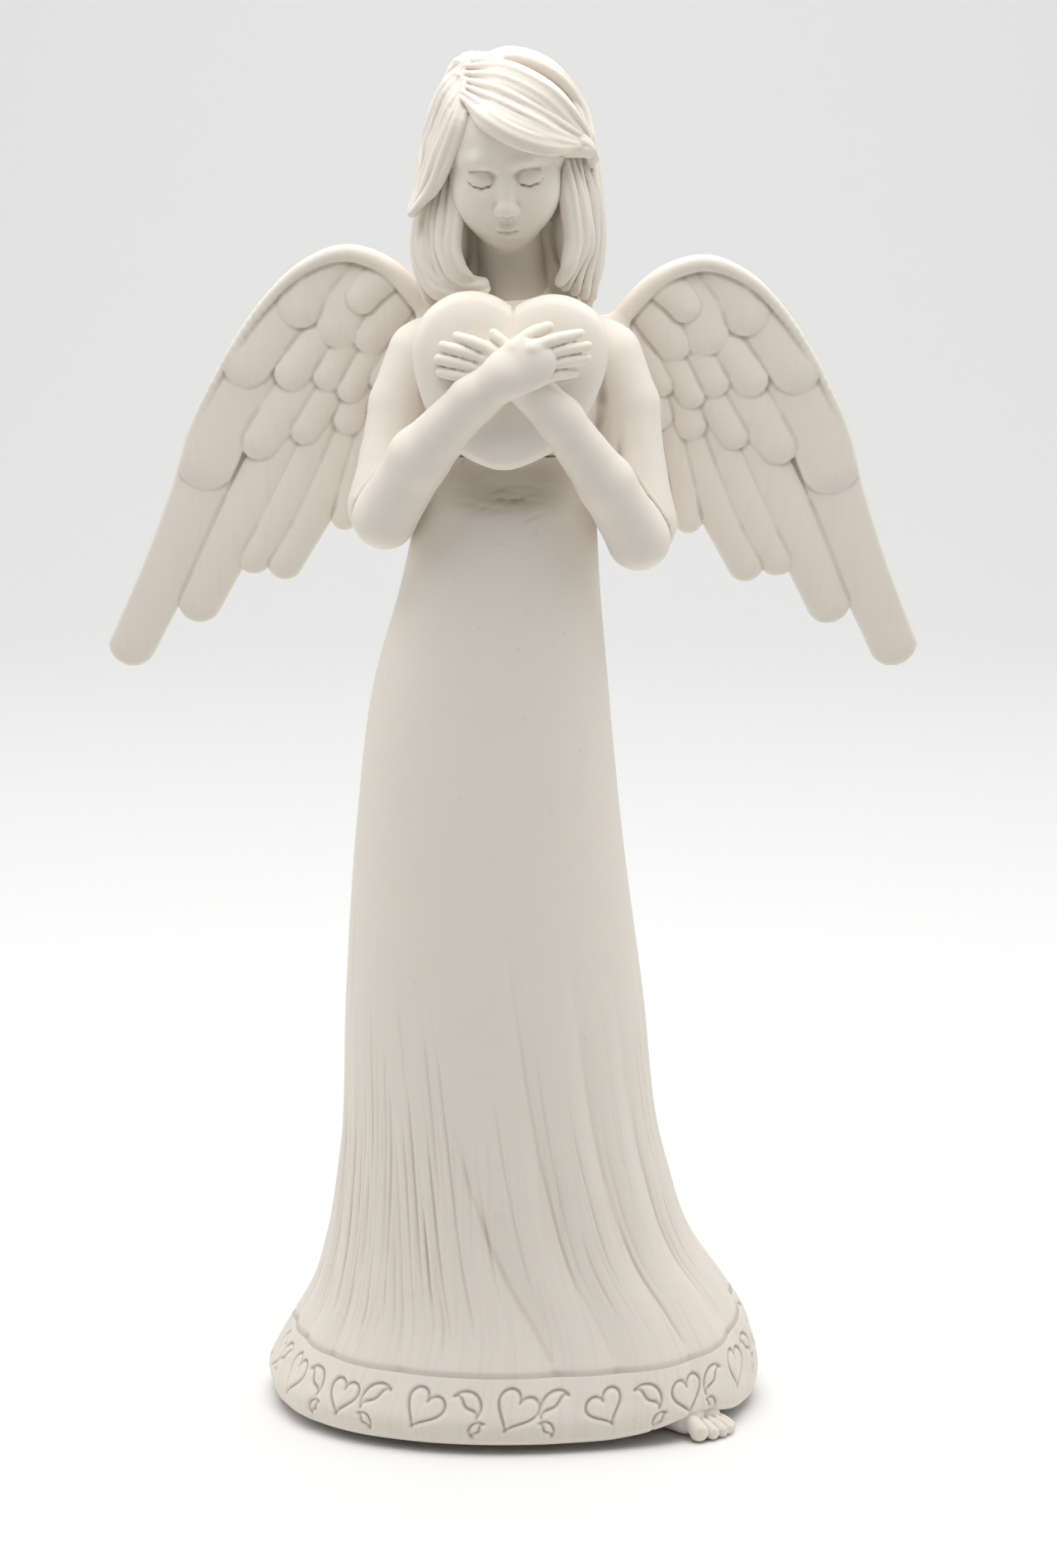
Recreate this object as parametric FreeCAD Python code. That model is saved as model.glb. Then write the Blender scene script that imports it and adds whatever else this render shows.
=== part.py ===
"""Resin angel figurine: a standing winged figure in a long gown, holding a heart to its chest.

A shell-cast gown carries a separately cast head, heart, two forearms with hands, two wings and one foot.
Each casting is located by a tenon or a steel dowel and glued. A plaster core fills the shell, and a closing
plate with a filler plug and a felt pad close it underneath.

Millimetres. +Z is up, the figure faces -Y, and +X is on the viewer's right. The origin is on the floor, under
the middle of the figure. "Right" and "left" in names are the figure's own, so its right side is at -X.
"""
import FreeCAD, Part
import math
import os

V = FreeCAD.Vector

# ---- driving dimensions ----
FELT_THICK = 1.5          # felt pad under the closing plate; its underside is the floor plane
PLATE_THICK = 3.0         # closing plate
WALL = 3.6                # resin wall of the gown
HEM_EDGE_Z = 1.6          # the hem hangs this far above the floor
HEM_LINE_Z = 13.0         # engraved line over the hem band
HEM_LINE_WIDTH, HEM_LINE_DEPTH = 0.8, 0.8
PLATE_INSET = 4.2         # closing plate's edge, inside the hem's outer edge
FELT_INSET = 6.5          # felt pad's edge, inside the hem's outer edge
PLUG_R = 8.0              # filler plug in the closing plate
PLUG_NECK_R = 6.0         # the plug's neck, which reaches up into the plaster
PLUG_NECK_LENGTH = 4.0
CAVITY_TOP_Z = 150.0      # the shell's inside ends here; the chest above is cast solid
GAP = 0.15                # glue gap around tenons, dowels and the plaster core
DOWEL_R = 1.0             # steel dowels
WING_SWEEP_DEG = 12.0     # each wing is turned back by this much
WING_ROOT_X, WING_ROOT_Y = 9.0, 9.5
WING_THICK = 3.0          # wing at its thinnest tier
TIER_STEP = 0.8           # each tier of feathers stands this much proud of the next
RIM_R = 2.1               # rounded leading edge of the wing
HEIGHT = 240.0            # overall, to the top of the hair
HAIR_R = 14.6             # crown of the hair
HEAD_CENTRE = V(-0.4, -2.5, HEIGHT - HAIR_R - 2.3)
HEAD_PITCH_DEG = 20.0     # the face looks down
HEAD_ROLL_DEG = 7.0       # the crown leans to -X

# Gown outline: height, -X edge, +X edge, front edge, back edge.
GOWN_SECTIONS = [
    (HEM_EDGE_Z, -42.6, 43.2, -37.4, 37.6),
    (5.0, -43.8, 44.0, -38.2, 38.2),
    (13.0, -39.6, 41.2, -33.6, 35.0),
    (20.0, -35.6, 36.0, -30.0, 31.5),
    (28.0, -33.2, 31.2, -27.2, 28.5),
    (44.0, -30.8, 27.0, -24.5, 25.0),
    (75.0, -29.6, 23.2, -21.5, 21.5),
    (104.0, -27.6, 19.4, -18.5, 18.0),
    (130.0, -24.2, 16.9, -15.5, 14.5),
    (150.0, -18.8, 15.3, -12.8, 11.5),
    (166.0, -15.8, 14.8, -11.6, 10.0),
    (178.0, -17.5, 17.0, -12.0, 10.0),
    (188.0, -18.5, 18.5, -10.5, 9.5),
    (194.0, -14.5, 15.0, -7.5, 8.0),
    (197.5, -7.5, 8.5, -6.0, 6.5),
]
RING_POINTS = 20

# Forearms: centreline points and radii from elbow to wrist, then the hand.
RIGHT_ELBOW, RIGHT_WRIST = V(-21.3, -8.0, 160.2), V(-3.8, -23.8, 180.6)
LEFT_ELBOW, LEFT_WRIST = V(21.0, -8.0, 156.2), V(5.4, -20.6, 179.6)
ELBOW_R, WRIST_R = 5.6, 4.3
PALM_SIZE = (11.5, 4.4, 8.0)

# Heart outline in X and Z: notch, then down each side to the point.
HEART_NOTCH, HEART_POINT = (0.3, 196.2), (-0.8, 168.4)
HEART_MINUS_X = [(-6.6, 198.5), (-13.8, 195.0), (-16.8, 187.0), (-13.2, 175.5), (-6.5, 170.2)]
HEART_PLUS_X = [(7.0, 197.9), (13.6, 194.8), (16.5, 187.0), (12.4, 176.0), (5.2, 170.6)]
HEART_BACK_Y, HEART_EDGE_Y, HEART_FRONT_Y = -10.5, -17.0, -20.4

# Feathers, listed from the leading edge inwards, as (root, tip, half width, bow), in distance out from the
# figure's middle plane and height. Tier 0 is the deepest tier, the long flight feathers.
FEATHERS = [
    [  # flight feathers
        ((42, 188), (71.0, 130.5), 5.6, 3.0),
        ((38, 182), (58.0, 138.0), 5.2, 3.0),
        ((34, 178), (47.5, 148.0), 4.6, 2.6),
        ((31, 176), (41.5, 147.0), 4.4, 2.4),
        ((27, 176), (33.0, 153.0), 4.2, 2.0),
        ((22, 176), (26.5, 158.5), 4.2, 1.4),
    ],
    [  # secondary coverts
        ((37, 195), (57.0, 161.0), 5.8, 3.0),
        ((34, 190), (47.5, 166.0), 4.6, 2.4),
        ((31, 187), (39.5, 169.0), 4.3, 2.0),
        ((27, 187), (32.5, 170.0), 4.2, 1.6),
        ((22, 187), (26.5, 170.0), 4.2, 1.2),
    ],
    [  # small coverts
        ((33, 199), (49.0, 180.5), 5.8, 2.4),
        ((31, 197), (42.0, 179.5), 4.6, 2.0),
        ((29, 196), (36.0, 178.8), 4.4, 1.6),
        ((25, 196), (30.5, 177.5), 4.4, 1.2),
        ((20, 195), (24.5, 177.5), 4.6, 1.0),
    ],
    [  # scallops under the rim
        ((28, 202), (39.0, 190.5), 5.0, 1.6),
        ((25, 200), (31.5, 187.5), 5.0, 1.2),
        ((18, 198), (23.5, 188.0), 5.4, 0.8),
    ],
]
WING_RIM = [(8, 185), (14, 195), (21, 201), (32, 204), (44, 196.5), (53, 182), (62, 163), (71.5, 137)]
WING_TAB = (6.5, 10.0)    # tenon into the gown's back: width along X, height along Z


# ---- shape helpers ----
def closed_ring(z, left, right, front, back, inset=0.0):
    """Closed smooth ring at height z with the given extents, drawn in by inset."""
    centre_x, centre_y = (left + right) / 2, (front + back) / 2
    a, b = (right - left) / 2 - inset, (back - front) / 2 - inset
    points = []
    for i in range(RING_POINTS):
        turn = 2 * math.pi * i / RING_POINTS
        points.append(V(centre_x + a * math.cos(turn), centre_y + b * math.sin(turn), z))
    curve = Part.BSplineCurve()
    curve.interpolate(Points=points, PeriodicFlag=True)
    return Part.Wire([curve.toShape()])


def extents_at(z):
    """The gown's four extents at any height, between its listed sections."""
    for low, high in zip(GOWN_SECTIONS, GOWN_SECTIONS[1:]):
        if z <= high[0]:
            t = max(0.0, (z - low[0]) / (high[0] - low[0]))
            return [a + t * (b - a) for a, b in zip(low[1:], high[1:])]
    return list(GOWN_SECTIONS[-1][1:])


def loft(wires, ruled=False):
    return Part.makeLoft(wires, True, ruled)


def spin(edges, start, along):
    """Solid of revolution. The edges run from the start point along local +X, above the axis."""
    face = Part.Face(Part.Wire(edges))
    shape = face.revolve(V(0, 0, 0), V(1, 0, 0), 360)
    shape.Placement = FreeCAD.Placement(start, FreeCAD.Rotation(V(1, 0, 0), along))
    return shape


def capsule(start, end, start_r, end_r):
    """Finger, toe or one length of a limb: two balls and the cone that is tangent to both."""
    length = (end - start).Length
    lean = (start_r - end_r) / length
    rise = math.sqrt(1 - lean * lean)
    first, last = V(start_r * lean, start_r * rise, 0), V(length + end_r * lean, end_r * rise, 0)
    back, front = V(-start_r, 0, 0), V(length + end_r, 0, 0)
    start_turn, end_turn = (math.pi + math.acos(lean)) / 2, math.acos(lean) / 2
    start_mid = V(start_r * math.cos(start_turn), start_r * math.sin(start_turn), 0)
    end_mid = V(length + end_r * math.cos(end_turn), end_r * math.sin(end_turn), 0)
    edges = [
        Part.Arc(back, start_mid, first).toShape(),
        Part.makeLine(first, last),
        Part.Arc(last, end_mid, front).toShape(),
        Part.makeLine(front, back)]
    return spin(edges, start, end - start)


def slab(centre, size, turn, corner_r):
    """Rounded plate for a palm or an instep. Its size is X, Y and Z before the turn."""
    plate = Part.makeBox(*size, V(-size[0] / 2, -size[1] / 2, -size[2] / 2))
    plate = plate.makeFillet(corner_r, plate.Edges)
    plate.Placement = FreeCAD.Placement(centre, turn)
    return plate


def tube(points, radii):
    """Bent limb: capsules end to end."""
    joints = list(zip(points, radii))
    return join([capsule(a, b, ra, rb) for (a, ra), (b, rb) in zip(joints, joints[1:])])


def rod(start, end, radius):
    return Part.makeCylinder(radius, (end - start).Length, start, end - start)


def join(shapes):
    return shapes[0].multiFuse(shapes[1:]) if len(shapes) > 1 else shapes[0]


def largest(shape):
    """The main solid of a cut, without the slivers a cut can leave."""
    return max(shape.Solids, key=lambda s: s.Volume)


def mirror_x(shape):
    return shape.mirror(V(0, 0, 0), V(1, 0, 0))


# ---- castings ----
def gown_outside():
    body = loft([closed_ring(*row) for row in GOWN_SECTIONS])
    right_sleeve = tube(
        [V(-16.6, 1.5, 187.5), V(-18.8, 0.5, 177.0), V(-20.2, -2.0, 168.0), V(-21.2, -4.5, 163.5)],
        [6.8, 6.4, 6.4, 6.5])
    left_sleeve = tube(
        [V(17.2, 1.5, 187.5), V(19.4, 0.5, 177.0), V(20.4, -2.0, 167.0), V(21.0, -4.5, 160.5)],
        [6.8, 6.4, 6.4, 6.5])
    return largest(join([body, right_sleeve, left_sleeve]))


def hem_line():
    """Groove engraved round the gown, above the hem band."""
    edge = extents_at(HEM_LINE_Z)
    low, high = HEM_LINE_Z - HEM_LINE_WIDTH / 2, HEM_LINE_Z + HEM_LINE_WIDTH / 2
    outer, inner = [
        loft([closed_ring(low, *edge, inset=inset), closed_ring(high, *edge, inset=inset)])
        for inset in (-3.0, HEM_LINE_DEPTH)]
    return outer.cut(inner)


def gown_cavity():
    """Room inside the gown: the same sections, drawn in by the wall and joined by straight lines."""
    heights = [row[0] for row in GOWN_SECTIONS if row[0] <= CAVITY_TOP_Z]
    return loft([closed_ring(z, *extents_at(z), inset=WALL) for z in heights], ruled=True)


def heart_wire(y, scale):
    """Heart outline at depth y, scaled about its middle."""
    middle_x = (HEART_NOTCH[0] + HEART_POINT[0]) / 2
    middle_z = (HEART_NOTCH[1] + HEART_POINT[1]) / 2

    def place(p):
        return V(middle_x + (p[0] - middle_x) * scale, y, middle_z + (p[1] - middle_z) * scale)

    edges = []
    for side in (HEART_MINUS_X, HEART_PLUS_X):
        curve = Part.BSplineCurve()
        curve.interpolate([place(p) for p in (HEART_NOTCH, *side, HEART_POINT)])
        edges.append(curve.toShape())
    return Part.Wire([edges[0], edges[1]])


def heart_block():
    back = Part.makeLoft([heart_wire(HEART_BACK_Y, 1.0), heart_wire(HEART_EDGE_Y, 1.0)], True, True)
    front = Part.makeLoft([heart_wire(HEART_EDGE_Y, 1.0), heart_wire(HEART_FRONT_Y, 0.86)], True, True)
    return join([back, front])


def forearm(elbow, wrist, sleeve_end, palm, palm_turn, fingers, thumb):
    """Forearm with its hand, and a stub that plugs up into the sleeve."""
    upper = capsule(elbow, sleeve_end, ELBOW_R - 0.8, ELBOW_R - 2.0)
    pieces = [capsule(elbow, wrist, ELBOW_R, WRIST_R), upper]
    pieces.append(slab(palm, PALM_SIZE, palm_turn, PALM_SIZE[1] * 0.45))
    pieces += [capsule(root, tip, 1.25, 1.0) for root, tip in fingers]
    pieces.append(capsule(*thumb, 1.5, 1.1))
    return largest(join(pieces))


def right_forearm_block():
    fingers = [(V(4.2, -25.6, 190.6 - 1.9 * i), V(11.2 + bend, -23.2, 191.7 - 1.9 * i))
               for i, bend in enumerate((0.0, 1.2, 1.2, -0.4))]
    return forearm(
        RIGHT_ELBOW, RIGHT_WRIST, V(-20.0, -3.5, 168.0), V(1.2, -25.4, 186.6),
        FreeCAD.Rotation(V(0, 1, 0), -28), fingers, (V(0.5, -25.0, 190.0), V(4.6, -23.8, 193.0)))


def left_forearm_block():
    fingers = [(V(-4.6 - 1.1 * i, -22.4, 189.8 - 1.5 * i), V(-10.0 - 0.8 * i, -21.0, 192.4 - 1.9 * i))
               for i in range(4)]
    return forearm(
        LEFT_ELBOW, LEFT_WRIST, V(20.0, -3.5, 165.0), V(-1.6, -22.2, 186.0),
        FreeCAD.Rotation(V(0, 1, 0), 28), fingers, (V(-1.0, -22.2, 189.0), V(-3.0, -21.6, 192.4)))


def head_block():
    """Head with hair, drawn about the skull's centre, then tilted and placed. The neck is upright."""
    skull = capsule(V(0, 1.0, 1.6), V(0, -4.6, -9.6), 12.6, 7.7)
    nose = capsule(V(0, -11.2, -1.5), V(0, -12.6, -6.0), 0.9, 1.5)
    hair_cap = capsule(V(0, 2.4, 1.6), V(0.3, 4.4, -8.0), HAIR_R, HAIR_R - 1.4)
    face_room = Part.makeBox(40, 20, 30.3, V(-20, -24.3, -24))
    fringe = tube([V(-4.2, -9.6, 11.4), V(2.4, -12.0, 7.6), V(8.2, -9.8, 5.2), V(12.0, -4.6, 4.3)],
                  [2.0, 2.6, 2.5, 2.0])
    back_hair = capsule(V(-4.0, 8.0, -14.0), V(4.2, 8.1, -14.2), 8.8, 8.6)
    pieces = [skull, nose, hair_cap.cut(face_room), fringe, back_hair]
    for side in (-1, 1):
        pieces.append(tube(
            [V(side * 12.0, -2.1, 2.0), V(side * 14.4, 0.0, -7.0), V(side * 14.0, 2.6, -15.0),
             V(side * 11.6, 4.6, -21.5)],
            [2.6, 3.4, 3.6, 2.4]))
    head = largest(join(pieces))
    tilt = FreeCAD.Rotation(V(0, 1, 0), -HEAD_ROLL_DEG) * FreeCAD.Rotation(V(1, 0, 0), HEAD_PITCH_DEG)
    head.Placement = FreeCAD.Placement(HEAD_CENTRE, tilt)
    neck = tube([V(0.8, 1.0, 192.0), V(0.8, 0.0, 200.0), V(0.4, -2.0, 209.0)], [6.6, 5.5, 5.6])
    return largest(join([head, neck]))


def feather(root, tip, half_width, bow, thick):
    """Flat feather standing on y = 0: bowed sides and a round end."""
    a, b = V(root[0], 0, root[1]), V(tip[0], 0, tip[1])
    along = (b - a).normalize()
    across = V(along.z, 0, -along.x)      # points to the leading edge's far side
    round_centre = b - along * half_width
    middle = (a + round_centre) * 0.5 - across * bow
    side_1 = [a - across * half_width, middle - across * half_width, round_centre - across * half_width]
    side_2 = [a + across * half_width, middle + across * half_width, round_centre + across * half_width]
    outline = Part.Wire([
        Part.Arc(*side_1).toShape(),
        Part.Arc(side_1[2], b, side_2[2]).toShape(),
        Part.Arc(*reversed(side_2)).toShape(),
        Part.makeLine(side_2[0], side_1[0])])
    return Part.Face(outline).extrude(V(0, thick, 0))


def wing_blade():
    """The wing at +X before its sweep: tiers of feathers, flat at the back, and a rounded leading edge."""
    pieces = []
    for tier, row in enumerate(FEATHERS):
        thick = WING_THICK + tier * TIER_STEP
        for i, shape in enumerate(row):
            slab = feather(*shape, thick + 0.25 * (len(row) - i) / len(row))
            slab.translate(V(0, -slab.BoundBox.YLength, 0))
            pieces.append(slab)
    root_corners = [(8, 179), (24, 179), (26, 198), (19, 197), (13, 191), (8, 184)]
    root_outline = Part.makePolygon([V(x, 0, z) for x, z in root_corners + root_corners[:1]])
    pieces.append(Part.Face(root_outline).extrude(V(0, -WING_THICK, 0)))
    points = [V(x, -WING_THICK / 2 - 0.4, z) for x, z in WING_RIM]
    radii = [RIM_R] * (len(points) - 2) + [RIM_R * 0.8, RIM_R * 0.6]
    pieces.append(tube(points, radii))
    return largest(join(pieces))


def wing_tab():
    """Tenon from the wing's root forwards into the back of the gown."""
    width, height = WING_TAB
    return Part.makeBox(width, 9.0, height, V(WING_ROOT_X, 2.0, 181.0))


def placed_wing():
    blade = wing_blade()
    blade.translate(V(0, WING_ROOT_Y + WING_THICK, 0))
    blade.rotate(V(WING_ROOT_X, WING_ROOT_Y, 0), V(0, 0, 1), WING_SWEEP_DEG)
    return blade


def foot_block():
    """Front of the figure's left foot, with five toes, flat underneath."""
    pieces = [slab(V(28.4, -22.0, 2.9), (15.0, 9.0, 5.6), FreeCAD.Rotation(V(0, 0, 1), -38), 2.4)]
    toe_roots = [V(31.2, -25.6, 2.4), V(33.2, -25.4, 2.2), V(34.6, -24.2, 2.0), V(35.6, -22.6, 1.8),
                 V(36.2, -21.0, 1.6)]
    toe_tips = [V(33.8, -28.6, 2.2), V(36.4, -27.8, 1.9), V(38.0, -26.2, 1.8), V(39.0, -24.2, 1.6),
                V(39.4, -22.2, 1.4)]
    toe_radii = [2.1, 1.6, 1.5, 1.4, 1.2]
    pieces += [capsule(a, b, r, 0.9 * r) for a, b, r in zip(toe_roots, toe_tips, toe_radii)]
    below_sole = Part.makeBox(60, 60, 10, V(0, -50, -10 + 0.2))
    return largest(join(pieces).cut(below_sole))


# ---- base pieces ----
def base_pieces():
    plate_bottom, plate_top = FELT_THICK, FELT_THICK + PLATE_THICK
    edge = extents_at(HEM_EDGE_Z)
    plate = loft([closed_ring(plate_bottom, *edge, inset=PLATE_INSET),
                  closed_ring(plate_top, *edge, inset=PLATE_INSET)])
    felt = loft([closed_ring(0, *edge, inset=FELT_INSET), closed_ring(FELT_THICK, *edge, inset=FELT_INSET)])
    plug = join([
        rod(V(0, 0, plate_bottom), V(0, 0, plate_top), PLUG_R),
        rod(V(0, 0, plate_top), V(0, 0, plate_top + PLUG_NECK_LENGTH), PLUG_NECK_R)])
    plate = plate.cut(rod(V(0, 0, 0), V(0, 0, plate_top + 1), PLUG_R + GAP))
    heights = [row[0] for row in GOWN_SECTIONS if plate_top + 1 < row[0] < CAVITY_TOP_Z]
    heights = [plate_top + GAP, *heights, CAVITY_TOP_Z - GAP]
    core = loft([closed_ring(z, *extents_at(z), inset=WALL + GAP) for z in heights], ruled=True)
    core = core.cut(rod(V(0, 0, 0), V(0, 0, plate_top + PLUG_NECK_LENGTH + GAP), PLUG_NECK_R + GAP))
    return {"closing_plate": plate, "felt_pad": felt, "filler_plug": plug, "plaster_core": largest(core)}


# ---- assembly ----
def dowels():
    """Steel dowels, two for each wing and one for each other joint: start, end."""
    wing = {}
    for name, side in (("right", -1), ("left", 1)):
        ends = [(V(side * 12.3, -4.0, z), V(side * 12.3, 11.8, z)) for z in (183.5, 188.5)]
        wing[name] = [rod(front, back, DOWEL_R) for front, back in ends]
    return {
        "neck_dowel": [rod(V(0.8, 1.0, 180.0), V(0.8, 0.4, 202.0), DOWEL_R)],
        "right_wing_dowels": wing["right"],
        "left_wing_dowels": wing["left"],
        "heart_dowels": [rod(V(x, -6.0, 190.0), V(x, -15.5, 190.0), DOWEL_R) for x in (-7.0, 7.0)],
        "right_arm_dowel": [rod(V(-21.0, -6.5, 161.5), V(-19.2, -0.5, 174.0), DOWEL_R)],
        "left_arm_dowel": [rod(V(20.8, -6.5, 157.5), V(19.6, -0.5, 171.0), DOWEL_R)],
        "foot_dowel": [rod(V(29.0, -22.0, 3.0), V(21.5, -17.0, 3.0), DOWEL_R)],
    }


def holes_for(rods):
    """The dowels' holes: the same rods, made wider by the glue gap."""
    holes = []
    for shape in rods:
        face = next(f for f in shape.Faces if isinstance(f.Surface, Part.Cylinder))
        ends = [e.Curve.Center for e in shape.Edges if isinstance(e.Curve, Part.Circle)]
        start, end = ends[0], ends[-1]
        holes.append(rod(start, end, face.Surface.Radius + GAP / 2))
    return holes


def build():
    outside = gown_outside()
    head = largest(head_block().cut(outside))
    neck_tenon = rod(V(0.8, 1.0, 189.0), V(0.8, 0.6, 199.0), 3.6)
    neck_socket = rod(V(0.8, 1.0, 188.8), V(0.8, 0.6, 199.0), 3.6 + GAP)
    head = largest(head.fuse(neck_tenon))

    left_foot = foot_block()
    foot_room = Part.makeCylinder(8.6, 30, V(16.0, -14.0, -1.5), V(19.0, -14.0, 0))

    wing_left = placed_wing().cut(outside)
    tab = wing_tab()
    wing_left = largest(largest(wing_left).fuse(tab))
    wing_right = mirror_x(wing_left)
    tab_socket = Part.makeBox(WING_TAB[0] + 2 * GAP, 9.0 + GAP, WING_TAB[1] + 2 * GAP,
                              V(WING_ROOT_X - GAP, 2.0 - GAP, 181.0 - GAP))

    heart = largest(heart_block().cut(outside).cut(head))
    left_arm = left_forearm_block().cut(heart)
    right_arm = right_forearm_block().cut(heart).cut(left_arm)
    arms = [largest(left_arm), largest(right_arm)]

    gown = outside.cut(gown_cavity()).cut(hem_line())
    for tool in (neck_socket, tab_socket, mirror_x(tab_socket), foot_room, left_foot, *arms):
        gown = gown.cut(tool)
    gown = largest(gown)
    base = base_pieces()
    for inside in ("closing_plate", "felt_pad", "plaster_core"):
        left_foot = left_foot.cut(base[inside])
    left_foot = largest(left_foot)

    castings = {
        "gown": gown, "head": head, "heart": heart,
        "left_forearm": arms[0], "right_forearm": arms[1],
        "left_wing": wing_left, "right_wing": wing_right, "left_foot": left_foot,
    }
    pins = dowels()
    for rods in pins.values():
        for hole in holes_for(rods):
            for name, shape in castings.items():
                castings[name] = largest(shape.cut(hole))
    pieces = {**castings, **base}
    pieces.update({name: Part.Compound(rods) for name, rods in pins.items()})
    return pieces


def write(pieces):
    os.makedirs("parts", exist_ok=True)
    for name, shape in pieces.items():
        print(name, "valid" if shape.isValid() else "INVALID", round(shape.Volume), "mm3")
        shape.exportStep(os.path.join("parts", name + ".step"))


write(build())
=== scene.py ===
"""Resin angel figurine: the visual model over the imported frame.

Each casting is sculpted as clay, a grid of signed distances in millimetres, then turned into a mesh. The
skirt and its hem band are drawn directly as surfaces, so that their folds and engraving stay crisp.
Millimetres are used up to build_mesh, which writes metres. +Z is up and the figure faces -Y.
"""

import math
import bpy
import numpy as np
import openvdb as vdb
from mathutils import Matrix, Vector


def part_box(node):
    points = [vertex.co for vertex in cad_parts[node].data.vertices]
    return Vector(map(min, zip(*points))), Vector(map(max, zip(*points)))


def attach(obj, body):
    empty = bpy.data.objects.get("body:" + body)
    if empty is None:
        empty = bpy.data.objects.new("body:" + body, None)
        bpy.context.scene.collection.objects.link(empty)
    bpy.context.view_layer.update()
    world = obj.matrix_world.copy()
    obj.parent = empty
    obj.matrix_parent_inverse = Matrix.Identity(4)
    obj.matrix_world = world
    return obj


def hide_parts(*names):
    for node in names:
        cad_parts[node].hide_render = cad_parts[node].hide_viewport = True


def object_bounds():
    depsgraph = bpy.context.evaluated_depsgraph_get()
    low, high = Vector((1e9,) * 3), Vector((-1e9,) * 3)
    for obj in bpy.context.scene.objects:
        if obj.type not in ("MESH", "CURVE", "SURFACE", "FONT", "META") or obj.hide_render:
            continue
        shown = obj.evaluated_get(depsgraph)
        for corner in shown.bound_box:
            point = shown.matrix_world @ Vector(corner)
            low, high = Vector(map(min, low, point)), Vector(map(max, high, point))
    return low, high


MM = 0.001
FAR = 6.0                             # distance stored where nothing has been sculpted
COARSE = 1.0

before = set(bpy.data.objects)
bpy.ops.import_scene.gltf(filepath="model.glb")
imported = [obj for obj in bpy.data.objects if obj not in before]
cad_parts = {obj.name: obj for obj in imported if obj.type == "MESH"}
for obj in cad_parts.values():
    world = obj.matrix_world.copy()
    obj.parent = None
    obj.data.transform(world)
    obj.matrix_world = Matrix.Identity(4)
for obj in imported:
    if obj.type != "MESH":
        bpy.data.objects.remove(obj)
cad_low, cad_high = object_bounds()
HEIGHT = cad_high.z / MM
HEM_EDGE_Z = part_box("gown")[0].z / MM

# Gown outline: height, -X edge, +X edge, front edge, back edge.
GOWN = [
    (HEM_EDGE_Z, -42.6, 43.2, -37.4, 37.6),
    (5.0, -43.8, 44.0, -38.2, 38.2),
    (9.0, -42.0, 43.6, -36.2, 37.2),
    (13.0, -39.6, 42.4, -33.6, 35.0),
    (20.0, -35.6, 38.0, -30.0, 31.5),
    (28.0, -33.2, 32.4, -27.2, 28.5),
    (44.0, -30.8, 27.0, -24.5, 25.0),
    (75.0, -29.6, 23.2, -21.5, 21.5),
    (104.0, -27.6, 19.4, -18.5, 18.0),
    (130.0, -24.3, 16.9, -15.5, 14.5),
    (148.0, -19.3, 15.4, -13.0, 11.8),
    (158.0, -17.2, 14.9, -12.0, 10.6),
    (170.0, -15.6, 14.8, -11.4, 10.0),
]
SQUARENESS = 2.25          # how square the outline is across: 2 is an ellipse
HEM_LINE_Z = 13.0          # groove over the hem band
WAIST_Z = 164.6            # seam between skirt and bodice
SKIRT_TOP = 170.1          # hidden in the bodice
HEM_RADIUS = 40            # turns an angle round the hem into millimetres
SKIRT_RADIUS = 32          # the same over the skirt

HEAD_CENTRE = np.array([-1.3, -2.8, 222.2])
HEAD_PITCH, HEAD_ROLL = math.radians(22), math.radians(3)
HEAD_SCALE = 0.96
NECK_Z = 201
WING_SWEEP = math.radians(12)
WING_HINGE = np.array([9.0, 10.6, 0.0])
WING_SPREAD, WING_FORWARD_CURVE = 1.02, 0.0009
WING_TIP_Z = 131
LEFT_WING_LEAN, LEFT_WING_HEIGHT = 0.062, 0.976   # against the right wing


# ---- clay ----
def smooth_min(a, b, blend):
    if blend <= 0:
        return np.minimum(a, b)
    h = np.maximum(blend - np.abs(a - b), 0) / blend
    return np.minimum(a, b) - h * h * blend * 0.25


def bell(x, width):
    """1 at zero, falling away smoothly on both sides."""
    return np.exp(-(x / width) ** 2)


def unit(v):
    v = np.asarray(v, float)
    return v / np.linalg.norm(v)


def length(*parts):
    return np.sqrt(sum(p * p for p in parts))


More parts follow.
